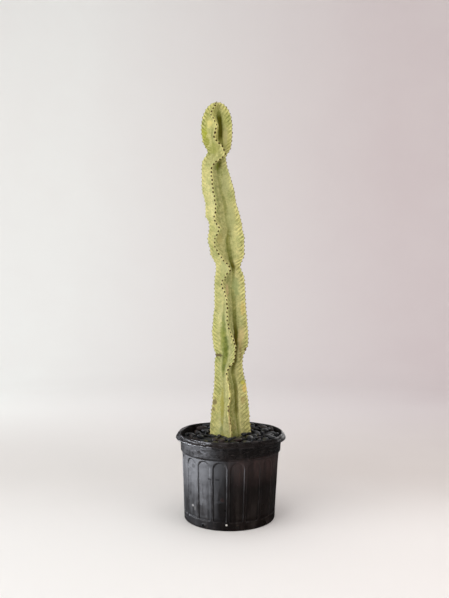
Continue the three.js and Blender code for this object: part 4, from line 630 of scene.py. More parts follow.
# How far the teeth stand out along each crest: front, right, back, left.
BOLD = [
    ([157, 420, 520, 1464], [.75, .75, 1.0, 1.0]),
    ([157, 500, 900, 960, 1080, 1200, 1464], [.8, .7, .9, .8, .45, .45, .6]),
    ([157, 1464], [.8, .8]),
    ([157, 500, 700, 900, 960, 1010, 1060, 1250, 1300, 1464], [.8, .6, .5, .6, .9, .9, .35, .35, .6, .6]),
]

# Where the valleys turn from olive to leaf green.
MOSS = [
    ([157, 1464], [0, 0]),
    ([157, 700, 780, 900, 980, 1464], [.2, .2, .7, .7, .1, .2]),
    ([157, 400, 470, 600, 680, 1464], [.1, .1, .8, .8, .1, .3]),
    ([157, 470, 520, 680, 740, 1464], [.25, .25, 1, 1, .1, .3]),
]

# Flanks with duller, olive brown skin, in the order of STRIPE; partly painted shade: on the front rib's right flank,
# turned from the light, the darkening is painted shade.
DULL_AND_SHADE = [
    ([157, 280, 320, 430, 480, 530, 620, 660, 1235, 1255, 1290, 1310, 1464], [.20, .40, .45, .40, .15, .45, .45, 0, 0, .50, .50, .10, .10]),
    ([157, 480, 560, 900, 1010, 1240, 1300, 1464], [.66, .66, .72, .48, .50, .50, .40, .40]),
    ([157, 1464], [0, 0]),
    ([157, 600, 900, 1464], [.30, .15, .35, .10]),
    ([157, 500, 1000, 1464], [.25, .40, .10, .20]),
    ([157, 500, 1000, 1464], [.15, .10, .30, .10]),
    ([157, 700, 1464], [.30, .10, .15]),
    ([157, 540, 570, 640, 680, 1235, 1255, 1290, 1310, 1464], [0, 0, .25, .25, 0, 0, .50, .50, .15, .15]),
]

# Flanks of paler, cream skin, partly painted light on the flanks turned to the window,
# in the order of STRIPE, and how far in from the crest they reach.
GLOW = [
    ([157, 300, 480, 560, 700, 900, 1010, 1060, 1212, 1240, 1300, 1330, 1400, 1464], [.25, .30, .50, .30, .35, .40, .70, .80, .80, .05, .05, .50, .50, .20], 90),
    ([157, 1464], [0, 0], 10),
    ([157, 420, 500, 560, 640, 840, 890, 1010, 1080, 1250, 1330, 1464], [1.0, 1.0, .90, .40, .75, .85, 1.0, .55, .12, .12, .35, .55], 34),
    ([157, 700, 1000, 1300, 1464], [.20, .45, .25, .40, .20], 30),
    ([157, 600, 1000, 1300, 1464], [.30, .20, .50, .30, .30], 34),
    ([157, 600, 1000, 1300, 1464], [.35, .40, .25, .40, .30], 34),
    ([157, 500, 1000, 1300, 1464], [.35, .30, .50, .30, .30], 34),
    ([157, 300, 480, 560, 700, 900, 1000, 1060, 1212, 1240, 1300, 1330, 1464], [.60, .62, .55, .25, .40, .45, .35, .80, .80, .05, .05, .30, .30], 90),
]

# How boldly each flank is striped: front rib left and right, right rib front and
# back, back rib right and left, left rib back and front.
STRIPE = [
    ([157, 480, 520, 560, 690, 740, 1250, 1320, 1400, 1464], [.20, .20, .60, .95, .80, .30, .20, .45, .35, .30]),
    ([157, 480, 540, 1464], [.30, .30, .15, .15]),
    ([157, 480, 530, 600, 860, 900, 1010, 1060, 1110, 1230, 1290, 1464], [.66, .66, .66, .74, .84, 1.0, 1.0, .60, .28, .28, .52, .78]),
    ([157, 600, 900, 1100, 1300, 1464], [.80, .50, .85, .50, .90, .90]),
    ([157, 400, 640, 900, 1150, 1464], [.50, .85, .60, .90, .55, .90]),
    ([157, 400, 640, 900, 1150, 1464], [.80, .55, .90, .60, .80, .80]),
    ([157, 500, 760, 1000, 1250, 1464], [.55, .85, .60, .85, .50, .90]),
    ([157, 400, 440, 500, 550, 680, 740, 900, 1000, 1060, 1240, 1290, 1400, 1464], [.20, .30, .80, .55, .90, .85, .28, .30, .36, .15, .30, 1.0, 1.0, .40]),
]

# centre and half sizes in millimetres, colour, strength
MARKS = [
    # painted shadow: dark brown deep in the front–right valley at the third neck, under the front crest
    ((14, -20, 590), (13, 22, 66), (70, 54, 6), 0.88),
    ((27, -26, 640), (12, 18, 44), (196, 176, 122), 0.45),
    ((18, -24, 812), (17, 26, 54), (138, 152, 98), 0.70),
    ((-95, 0, 1352), (13, 40, 28), (158, 166, 46), 0.72),
    ((-18, -24, 1172), (17, 36, 62), (166, 168, 118), 0.50),
    ((0, -24, 1055), (20, 36, 74), (168, 172, 118), 0.55),
    ((-42, -26, 978), (16, 40, 26), (186, 176, 112), 0.50),
    ((-13, -34, 796), (7, 40, 27), (190, 168, 122), 0.60),
    ((38, -20, 640), (18, 42, 42), (214, 190, 136), 0.46),
    ((32, -22, 606), (12, 30, 36), (186, 158, 106), 0.42),
    ((-42, 10, 568), (19, 40, 6.5), (84, 70, 50), 0.85),
    ((-56, 6, 403), (11, 40, 15), (112, 98, 70), 0.70),
    ((-60, 10, 379), (7, 40, 9), (120, 104, 76), 0.60),
    ((42, 0, 733), (12, 40, 30), (224, 198, 116), 0.42),
    ((48, 0, 452), (8, 40, 20), (220, 182, 100), 0.50),
    ((41, 0, 472), (8, 40, 9), (222, 214, 76), 0.50),
    ((44, -16, 411), (12, 36, 18), (168, 140, 92), 0.40),
    ((18, -58, 337), (12, 26, 34), (160, 138, 98), 0.40),
    ((-52, 0, 1232), (10, 40, 26), (126, 142, 58), 0.45),
    ((54, 0, 591), (8, 40, 9), (92, 66, 46), 0.80),
    ((34, -22, 572), (9, 24, 34), (120, 94, 50), 0.60),
    ((-6, -72, 350), (4, 14, 60), (172, 146, 104), 0.55),
    ((8, -62, 372), (6, 20, 30), (150, 132, 92), 0.45),
    ((-88, 0, 1320), (16, 40, 30), (124, 132, 30), 0.58),
    ((-76, -20, 1382), (17, 40, 26), (222, 213, 138), 0.60),
    ((-18, -20, 1334), (9, 40, 42), (182, 180, 130), 0.65),
    ((-58, -10, 1292), (24, 36, 26), (148, 152, 62), 0.40),
    ((-31, -30, 400), (9, 40, 100), (152, 148, 56), 0.74),
    ((-26, -30, 250), (10, 40, 70), (160, 154, 60), 0.60),
    ((-32, -24, 630), (9, 40, 84), (126, 138, 50), 0.66),
    ((18, 62, 707), (16, 30, 40), (170, 148, 104), 0.45),
    ((-30, 60, 1112), (12, 30, 30), (164, 140, 98), 0.45),
    ((10, 66, 427), (14, 30, 26), (150, 128, 92), 0.45),
    ((-84, 30, 1007), (14, 26, 30), (172, 150, 108), 0.40),
]


def stem_rings(z, reach, bearing, V, t, cx, cy, top=None):
    """Cross sections: 48 points a rib, 192 in all. Every input is an array over the rows."""
    rows = len(z)
    NF, NT = 18, 11
    e = lambda a: np.stack([np.sin(a * DEG), -np.cos(a * DEG)], -1)
    valley = [(bearing[k] + (bearing[k + 1] if k < 3 else bearing[0] + 360)) / 2 for k in range(4)]
    pts, tips = [], []
    for k in range(4):
        R, a = reach[k], bearing[k]
        ek, nk = e(a), e(a + 90)
        tx = 1.25 * t

        def flank(side):
            va = valley[k] if side > 0 else valley[(k + 3) % 4] - (360 if k == 0 else 0)
            ve, vt = e(va), e(va - side * 90)
            p0 = (R - tx)[:, None] * ek + side * t[:, None] * nk
            k1 = 0.5 * np.maximum(2, R - t - V)[:, None]
            pv = V[:, None] * ve
            p1 = p0 - k1 * ek + side * 0.4 * nk
            p2 = pv + 0.26 * V[:, None] * vt
            u = (np.arange(NF + 1) / NF)[None, :, None]
            return (p0[:, None] * (1 - u) ** 3 + 3 * p1[:, None] * u * (1 - u) ** 2 + 3 * p2[:, None] * u * u * (1 - u) + pv[:, None] * u**3)

        lo, hi = flank(-1), flank(1)
        beta = (np.arange(1, NT + 1) / (NT + 1) * 180 - 90) * DEG
        arc = ((R - tx)[:, None, None] * ek[:, None] + (tx[:, None] * np.cos(beta))[..., None] * ek[:, None] + (t[:, None] * np.sin(beta))[..., None] * nk[:, None])
        pts += [lo[:, ::-1][:, 1:], arc, hi]
    xy = np.concatenate(pts, 1)
    out = np.zeros((rows, xy.shape[1], 3))
    out[..., 0] = xy[..., 0] + cx[:, None]
    out[..., 1] = xy[..., 1] + cy[:, None]
    if top is None:
        out[..., 2] = z[:, None]
    else:
        rho = np.hypot(xy[..., 0], xy[..., 1])
        rmax = np.max(reach, 0)[:, None]
        dip = 13 * (1 - top) ** 0.7
        out[..., 2] = z[:, None] - dip[:, None] * (1 - np.clip((rho - V[:, None]) / (rmax - V[:, None]), 0, 1))
    return out




def make_stem(material):
    z_low = np.array([157.0, 167, 187, 212, 233])
    zb = np.concatenate([z_low, np.linspace(245, DOME_Z, 424)])
    T = STEM
    col = lambda c, z: cubic(T, z, c)
    beta = np.linspace(2.2, 86, 38) * DEG
    sc = np.cos(beta)
    zt = DOME_Z + DOME_H * np.sin(beta)
    zall = np.concatenate([zb, zt])
    nb = len(zb)
    reach, bearing = [], []
    for k in range(4):
        r = np.concatenate([col(3 + 2 * k, zb), T[-1, 3 + 2 * k] * sc])
        a = np.concatenate([col(4 + 2 * k, zb), cubic(TIP, zt, 1 + k)])
        if k == 3:
            a = a + 360
        reach.append(r)
        bearing.append(a)
    cx = np.concatenate([col(1, zb), np.full(len(zt), T[-1, 1])])
    cy = np.concatenate([col(2, zb), np.full(len(zt), T[-1, 2])])
    V = np.concatenate([col(11, zb), T[-1, 11] * sc])
    t = np.concatenate([col(12, zb), np.minimum(T[-1, 12], 0.32 * np.min([r[nb:] for r in reach], 0))])
    # arc length along each crest, then the teeth that stand on it
    along = []
    for k in range(4):
        x = cx + reach[k] * np.sin(bearing[k] * DEG)
        y = cy - reach[k] * np.cos(bearing[k] * DEG)
        step = np.sqrt(np.diff(x) ** 2 + np.diff(y) ** 2 + np.diff(zall) ** 2)
        along.append(np.concatenate([[0], np.cumsum(step)]) + 3.7 * k)
    smooth_reach = [r.copy() for r in reach]
    size = np.clip((zall - 252) / 40, 0, 1) * np.concatenate([np.ones(nb), np.clip(sc * 1.6, 0, 1)])
    for k in range(4):
        ph = (along[k] / PITCH) % 1.0
        tooth = np.exp(-(((ph - 0.5) / 0.17) ** 2))
        bold = np.interp(zall, *BOLD[k])
        reach[k] = reach[k] + size * bold * (3.0 * tooth - 1.1)
        # the crest wavers a little from tooth to tooth
        bearing[k] = bearing[k] + size * np.degrees(0.9 * np.sin(along[k] * 2 * math.pi / (2 * PITCH)) / np.maximum(smooth_reach[k], 12))
    low = stem_rings(zb, [r[:nb] for r in reach], [a[:nb] for a in bearing], V[:nb], t[:nb], cx[:nb], cy[:nb])
    high = stem_rings(zt, [r[nb:] for r in reach], [a[nb:] for a in bearing], V[nb:], t[nb:], cx[nb:], cy[nb:], top=sc)
    P = np.concatenate([low, high], 0)
    rows, cols = P.shape[:2]
    # distance from the crest and from the valley, over the surface
    NR = cols // 4
    dist = np.zeros((rows, cols)); vall = np.zeros((rows, cols)); al = np.zeros((rows, cols)); rb = np.zeros((rows, cols))
    for k in range(4):
        s = np.arange(k * NR - 1, (k + 1) * NR)       # valley before .. valley after
        Q = P[:, s % cols]
        seg = np.linalg.norm(np.diff(Q[..., :2], axis=1), axis=2)
        cum = np.concatenate([np.zeros((rows, 1)), np.cumsum(seg, 1)], 1)
        c = 18 + 6                                     # the crest's middle point
        d = np.abs(cum - cum[:, c:c + 1])
        lo_len, hi_len = cum[:, c:c + 1], cum[:, -1:] - cum[:, c:c + 1]
        side = np.arange(len(s)) <= c
        v = np.where(side[None], lo_len - d, hi_len - d)
        dist[:, s[1:] % cols] = d[:, 1:]
        vall[:, s[1:] % cols] = v[:, 1:]
        al[:, s[1:] % cols] = along[k][:, None]
        rb[:, s[1:] % cols] = k + 0.25 * side[None, 1:]
    # relief: low herringbone welts near the crest, shallow unevenness elsewhere
    flat = P.reshape(-1, 3)
    nrm = np.cross(np.roll(P, -1, 1) - np.roll(P, 1, 1), np.gradient(P, axis=0)).reshape(-1, 3)
    nrm /= np.maximum(np.linalg.norm(nrm, axis=1, keepdims=True), 1e-9)
    D, A = dist.ravel(), al.ravel()
    welt = np.sin(2 * math.pi * (A + 0.78 * D) / PITCH)
    mask = smooth(24, 12, D) * smooth(1.5, 5, D) * np.repeat(size, cols)
    out = 0.60 * welt * mask + 0.7 * waves(flat, 60, 5) * smooth(0, 6, D) * np.repeat(size, cols)
    flat = flat + nrm * out[:, None]
    apex = np.array([[cx[-1], cy[-1], DOME_Z + DOME_H - 13.0]])
    base = np.array([[cx[0], cy[0], 157.0]])
    co = np.concatenate([flat, apex, base])
    n = len(flat)
    quads = grid_faces(rows, cols)
    j = np.arange(cols)
    k2 = (j + 1) % cols
    last = (rows - 1) * cols
    faces = [tuple(q) for q in quads] + [(last + a, last + b, n) for a, b in zip(j, k2)] + [(b, a, n + 1) for a, b in zip(j, k2)]
    # per vertex, how green and dark its valley is: green skin, and painted shade in the deep hollows
    valley_green_and_shade = np.zeros((rows, cols))
    for k in range(4):
        value = [np.interp(zall, *VALLEY_GREEN_AND_SHADE[v]) for v in (k - 1, k)]
        for s, w in ((slice(k * NR, k * NR + 24), value[0]), (slice(k * NR + 24, (k + 1) * NR), value[1])):
            valley_green_and_shade[:, s] = w[:, None]
    moss, stripe, dull_and_shade, cream_and_painted_light, worn = (np.zeros((rows, cols)) for _ in range(5))
    for k in range(4):
        lo, hi = slice(k * NR, k * NR + 24), slice(k * NR + 24, (k + 1) * NR)
        moss[:, lo] = np.interp(zall, *MOSS[k - 1])[:, None]
        moss[:, hi] = np.interp(zall, *MOSS[k])[:, None]
        stripe[:, lo] = np.interp(zall, *STRIPE[2 * k])[:, None]
        stripe[:, hi] = np.interp(zall, *STRIPE[2 * k + 1])[:, None]
        # duller skin, and painted shade on the front rib's flank turned from the light
        dull_and_shade[:, lo] = np.interp(zall, *DULL_AND_SHADE[2 * k])[:, None]
        dull_and_shade[:, hi] = np.interp(zall, *DULL_AND_SHADE[2 * k + 1])[:, None]
        # cream skin, and painted light on the flanks turned to the window
        for sl, (zg, value_g, reach_g) in ((lo, GLOW[2 * k]), (hi, GLOW[2 * k + 1])):
            far = reach_g * (1 + 0.9 * smooth(540, 450, zall))[:, None]
            cream_and_painted_light[:, sl] = np.interp(zall, zg, value_g)[:, None] * smooth(1.25, 0.6, dist[:, sl] / far)
        worn[:, sl] = (smooth(530, 470, zall) * (1.0 if k == 0 else 0.25))[:, None]
    attrs = {
        "cream_and_painted_light": np.concatenate([cream_and_painted_light.ravel(), [0.2, 0.2]]), "worn": np.concatenate([worn.ravel(), [0.0, 0.0]]),
        "moss": np.concatenate([moss.ravel(), [0.2, 0.2]]), "dull_and_shade": np.concatenate([dull_and_shade.ravel(), [0.0, 0.0]]), "stripe": np.concatenate([stripe.ravel(), [0.4, 0.4]]),
        "valley_green_and_shade": np.concatenate([valley_green_and_shade.ravel(), [0.4, 0.4]]),
        "along": np.concatenate([A, [A[-1], 0]]), "dist": np.concatenate([D, [6, 30]]),
        "valley": np.concatenate([vall.ravel(), [6, 6]]), "rib": np.concatenate([rb.ravel(), [0, 0]]),
    }
    ob = make("stem_column", co, faces, attrs, material)
    teeth = []
    for k in range(4):
        crest = P[:, k * NR + 18 + 5]                  # the crest's middle, row by row
        a = along[k]
        first, final = math.ceil(a[0] / PITCH - 0.5), math.floor(a[-1] / PITCH - 0.5)
        for q in range(first, final + 1):
            s = (q + 0.5) * PITCH
            zc = np.interp(s, a, zall)
            if zc < 287 or s > a[-1] - 5:
                continue
            p = np.array([np.interp(s, a, crest[:, i]) for i in range(3)])
            p2 = np.array([np.interp(s + 3, a, crest[:, i]) for i in range(3)])
            p1 = np.array([np.interp(s - 3, a, crest[:, i]) for i in range(3)])
            up = p2 - p1
            up /= np.linalg.norm(up)
            axis = np.array([np.interp(s, a, cx), np.interp(s, a, cy), 0])
            out_dir = np.array([p[0] - axis[0], p[1] - axis[1], 0.0])
            if zc > DOME_Z:
                out_dir = p - np.array([axis[0], axis[1], DOME_Z])
                out_dir[:2] *= 2.2
            out_dir -= up * (out_dir @ up)
            out_dir /= max(np.linalg.norm(out_dir), 1e-6)
            teeth.append((p, out_dir, up, k))
    return ob, teeth


def spine_material():
    n = Nodes("spine_horn")
    fine = n.noise(1400.0, 3, 0.6)
    age = n.range(n.noise(26.0, 2), 0.40, 0.62)
    c = n.mix(age, srgb(50, 38, 10), srgb(74, 58, 20))
    c = n.mix(n.range(fine, 0.52, 0.80), c, srgb(96, 78, 40))
    c = n.mix(n.attr("faded"), c, n.mix(age, srgb(92, 82, 40), srgb(128, 112, 62)))
    # near the soil they have weathered grey
    c = n.mix(n.range(n.xyz(n.obj)[2], 0.52, 0.34, 0.0, 0.6), c, srgb(132, 112, 82))
    n.surface(Base_Color=c, Roughness=n.range(fine, 0.3, 0.7, 0.52, 0.70))
    n.bsdf.inputs["Specular IOR Level"].default_value = 0.04
    n.surface(Normal=n.bump(fine, 0.4, 0.0003))
    return n.m


def make_spines(teeth, material):
    """On each tooth a small horny shield with a pair of short spines."""
    rng = np.random.RandomState(4)
    ring = 9
    co, faces, faded = [], [], []

    def add(points, tris):
        base = sum(len(c) for c in co)
        co.append(np.array(points))
        faces.extend(tuple(int(i) + base for i in f) for f in tris)

    for p, o, up, k in teeth:
        side = np.cross(o, up)
        s = rng.uniform(0.85, 1.15)
        s *= 1 + (0.22 * (math.exp(-(((p[2] - 1421) / 12) ** 2)) + math.exp(-(((p[2] - 1344) / 16) ** 2))) if k == 0 else -0.10)
        pale = 0.0 if k == 0 else float(np.clip(rng.uniform(-0.1, 1.2) - 0.5 * smooth(1240, 1290, np.array(p[2])), 0, 1))
        count = sum(len(c) for c in co)
        # the oldest ones have dropped off, most of all along the front rib
        if rng.uniform() < (0.80 if k == 0 else 0.35) * smooth(520, 470, np.array(p[2])):
            continue
        pts, tri = [], []
        # shield: a low dome, longer along the crest, its skirt sunk in the tooth
        prof = [(1.0, -1.1), (0.98, -0.1), (0.72, 0.42), (0.35, 0.62)]
        for f, h in prof:
            for i in range(ring):
                a = 2 * math.pi * i / ring
                pts.append(p + o * (h * s - 0.25) + side * (f * 2.8 * s * math.cos(a)) + up * (f * 3.7 * s * math.sin(a) - 0.3))
        for r in range(len(prof) - 1):
            for i in range(ring):
                j = (i + 1) % ring
                tri.append((r * ring + i, r * ring + j, (r + 1) * ring + j, (r + 1) * ring + i))
        pts.append(p + o * (0.68 * s - 0.25) - up * 0.3)
        c = len(pts) - 1
        for i in range(ring):
            tri.append(((len(prof) - 1) * ring + i, (len(prof) - 1) * ring + (i + 1) % ring, c))
        pts.append(p - o * 1.4 - up * 0.3)
        c = len(pts) - 1
        for i in range(ring):
            tri.append(((i + 1) % ring, i, c))
        add(pts, tri)
        for sg in (-1, 1):
            d = o * 0.62 + side * sg * 0.72 * rng.uniform(0.85, 1.1) - up * rng.uniform(0.05, 0.25)
            d /= np.linalg.norm(d)
            L, r0 = rng.uniform(2.2, 3.1), 0.45
            q = p + o * 0.25 + side * sg * 0.7
            u = np.cross(d, up)
            u /= np.linalg.norm(u)
            v = np.cross(d, u)
            pts, tri = [], []
            for h, f in ((-0.6, 1.0), (0.5, 0.85), (1.4, 0.5)):
                for i in range(6):
                    a = 2 * math.pi * i / 6
                    pts.append(q + d * h + (u * math.cos(a) + v * math.sin(a)) * r0 * f)
            pts.append(q + d * L)
            pts.append(q - d * 0.7)
            for r in range(2):
                for i in range(6):
                    j = (i + 1) % 6
                    tri.append((r * 6 + i, (r + 1) * 6 + i, (r + 1) * 6 + j, r * 6 + j))
            for i in range(6):
                j = (i + 1) % 6
                tri.append((12 + i, 18, 12 + j))
                tri.append((j, 19, i))
            add(pts, tri)
        faded.append(np.full(sum(len(c) for c in co) - count, pale))
    return make("stem_spines", np.concatenate(co), faces, {"faded": np.concatenate(faded)}, material)


# --------------------------------------------------------------------- stones
def stone_material():
    n = Nodes("river_stone_polish")
    tone = n.attr("tone")
    mid = n.noise(55.0, 4, 0.6)
    fine = n.noise(700.0, 3, 0.6)
    c = n.mix(n.range(tone, 0.0, 1.0, ease=False), srgb(17, 17, 19), srgb(40, 41, 44))
    c = n.mix(n.range(n.math("FRACT", n.math("MULTIPLY", tone, 7.31)), 0.72, 1.0, 0.0, 0.7), c, srgb(58, 44, 38))
    c = n.mix(n.math("MULTIPLY", n.range(mid, 0.42, 0.66), 0.35), c, srgb(58, 60, 63))
    # thin pale veins on a few stones
    vein = n.range(n.math("ABSOLUTE", n.math("SUBTRACT", n.noise(38.0, 2, 0.4, distort=1.2), 0.5)), 0.012, 0.002)
    some = n.range(n.math("FRACT", n.math("MULTIPLY", tone, 13.7)), 0.78, 0.86)
    c = n.mix(n.math("MULTIPLY", n.math("MULTIPLY", vein, some), 0.5), c, srgb(150, 148, 144))
    # a film of dust where a stone faces up
    g = n.t.nodes.new("ShaderNodeNewGeometry")
    up = n.range(n.xyz(g.outputs["Normal"])[2], 0.35, 0.98)
    dust = n.math("MULTIPLY", up, n.range(n.noise(130.0, 4, 0.65), 0.40, 0.72))
    c = n.mix(n.math("MULTIPLY", dust, 0.14), c, srgb(118, 112, 106))
    n.surface(Base_Color=c)
    rough = n.range(mid, 0.3, 0.7, 0.27, 0.40, ease=False)
    rough = n.math("ADD", rough, n.math("MULTIPLY", dust, 0.16))
    n.surface(Roughness=rough)
    n.bsdf.inputs["Specular IOR Level"].default_value = 0.45
    b = n.bump(n.noise(210.0, 3, 0.5), 0.12, 0.0008)
    b = n.bump(n.range(n.cells(520.0), 0.25, 0.05), 0.10, 0.0003, b)
    n.surface(Normal=n.bump(fine, 0.06, 0.0002, b))
    return n.m


def ball(level):
    bm = bmesh.new()
    bmesh.ops.create_icosphere(bm, subdivisions=level, radius=1.0)
    co = np.array([v.co[:] for v in bm.verts])
    f = np.array([[v.index for v in q.verts] for q in bm.faces], np.int32)
    bm.free()
    return co, f


def turn(q):
    w, x, y, z = q / np.linalg.norm(q)
    return np.array([[1 - 2 * (y * y + z * z), 2 * (x * y - z * w), 2 * (x * z + y * w)],
                     [2 * (x * y + z * w), 1 - 2 * (x * x + z * z), 2 * (y * z - x * w)],
                     [2 * (x * z - y * w), 2 * (y * z + x * w), 1 - 2 * (x * x + y * y)]])


def pebble(i, co):
    """One river stone: an ellipsoid worn uneven, never larger than its own."""
    row = STONES[i]
    rng = np.random.RandomState(100 + i)
    wear = 0.5 + 0.5 * np.clip(waves(co, rng.uniform(1.5, 2.6), 900 + i, 2) * 1.3, -1, 1)
    flatter = 0.035 * np.abs(co @ (lambda v: v / np.linalg.norm(v))(rng.normal(size=3))) ** 2
    p = co * (1 - 0.085 * wear - flatter)[:, None]
    # fuller shoulders than an ellipsoid has, as stones rubbed flat on one another
    p = p * (1 + 0.05 * (1 - np.abs(co[:, 2:3]) ** 1.5) * smooth(0.1, 0.7, np.abs(co[:, 2:3])))
    p = p * (row[7:] - 0.15)
    return p @ turn(row[3:7]).T + row[:3]


def make_stones(material):
    co, f = ball(5)
    for i in range(LOOSE):
        ob = make(f"river_stone_{i + 1:02d}", pebble(i, co), f, {"tone": np.full(len(co), tone_of(i))}, material)
        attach(ob, "root"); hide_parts(f"pebble_{i + 1:02d}")
    co, f = ball(4)
    P, F, A = [], [], []
    for k, i in enumerate(range(LOOSE, len(STONES))):
        P.append(pebble(i, co)); F.append(f + k * len(co)); A.append(np.full(len(co), tone_of(i)))
    bed = make("river_stone_bed", np.concatenate(P), np.concatenate(F), {"tone": np.concatenate(A)}, material)
    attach(bed, "root"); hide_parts("pebble_bed")


def tone_of(i):
    return float(np.random.RandomState(500 + i).uniform(0, 1))


# ----------------------------------------------------------------------- soil
def soil_material():
    n = Nodes("potting_mix_crumbs")
    a, b = n.noise(90.0, 6, 0.7), n.noise(420.0, 4, 0.65)
    bark = n.range(n.cells(95.0), 0.10, 0.34)
    c = n.mix(n.range(a, 0.35, 0.65), srgb(34, 26, 21), srgb(78, 60, 45))
    c = n.mix(n.math("MULTIPLY", bark, n.range(b, 0.4, 0.7)), c, srgb(104, 82, 60))
    c = n.mix(n.range(n.cells(260.0), 0.09, 0.05, 0.0, 0.8), c, srgb(196, 192, 184))
    # painted shade: near black low down, where the mix lies behind the slots in the wall
    c = n.mix(n.range(n.xyz(n.obj)[2], 0.045, 0.025, 0.0, 0.88), c, srgb(13, 11, 10))
    n.surface(Base_Color=c, Roughness=n.range(b, 0.3, 0.7, 0.86, 0.98))
    h = n.bump(a, 0.9, 0.004)
    n.surface(Normal=n.bump(b, 0.7, 0.0015, h))
    return n.m


def make_soil(material):
    """The mix fills the pot; its top is crumbly and lies under the stones."""
    cols = 220
    body = lambda z: BODY_R0 + (BODY_R1 - BODY_R0) * (z - 10) / (SHOULDER_Z - 10)
    path = [(14.0, 7.6), (FOOT_IN - 4.8, 7.6), (FOOT_IN + 1.4, 2.5), (FOOT_R - 1.6, 2.5), (body(9) - 5.0, 9.2), (165.1, 233.4), (167.2, 238.0), (171.8, 240.4), (172.8, 244.0)]
    rs = np.concatenate([[172.8], np.linspace(171.6, 30, 76)])
    top = np.interp(rs, [0, 60, 110, 172.8], [277.2, 275.7, 270.7, 264.0])
    ang = np.arange(cols) / cols * 2 * math.pi
    rows = [(r, z, 0) for r, z in path] + [(r, z - 1.2, 1) for r, z in zip(rs, top)]
    P = np.array([[[r * math.sin(a), -r * math.cos(a), z] for a in ang] for r, z, _ in rows])
    w = np.array([m for *_, m in rows])[:, None] * np.ones(cols)
    q = P.reshape(-1, 3)
    lump = waves(q, 16, 31, 4)
    q[:, 2] += w.ravel() * (np.minimum(lump, 0.35) * 1.9 - 0.6) * np.repeat(smooth(172.8, 168, np.array([r for r, *_ in rows])), cols)
    faces = [tuple(f) for f in grid_faces(len(rows), cols)]
    n = len(q)
    q[:, 2] += w.ravel() * 0.04 * q[:, 0]
    q = np.concatenate([q, [[0, 0, 7.6], [0, 0, 275.0]]])
    q[:, 0] += np.where(q[:, 2] < 250, LEAN * (q[:, 2] - POT_H) / POT_H, 0.0)
    j = np.arange(cols)
    faces += [(b, a, n) for a, b in zip(j, (j + 1) % cols)]
    last = (len(rows) - 1) * cols
    faces += [(last + a, last + b, n + 1) for a, b in zip(j, (j + 1) % cols)]
    return make("potting_mix", q, faces, None, material)


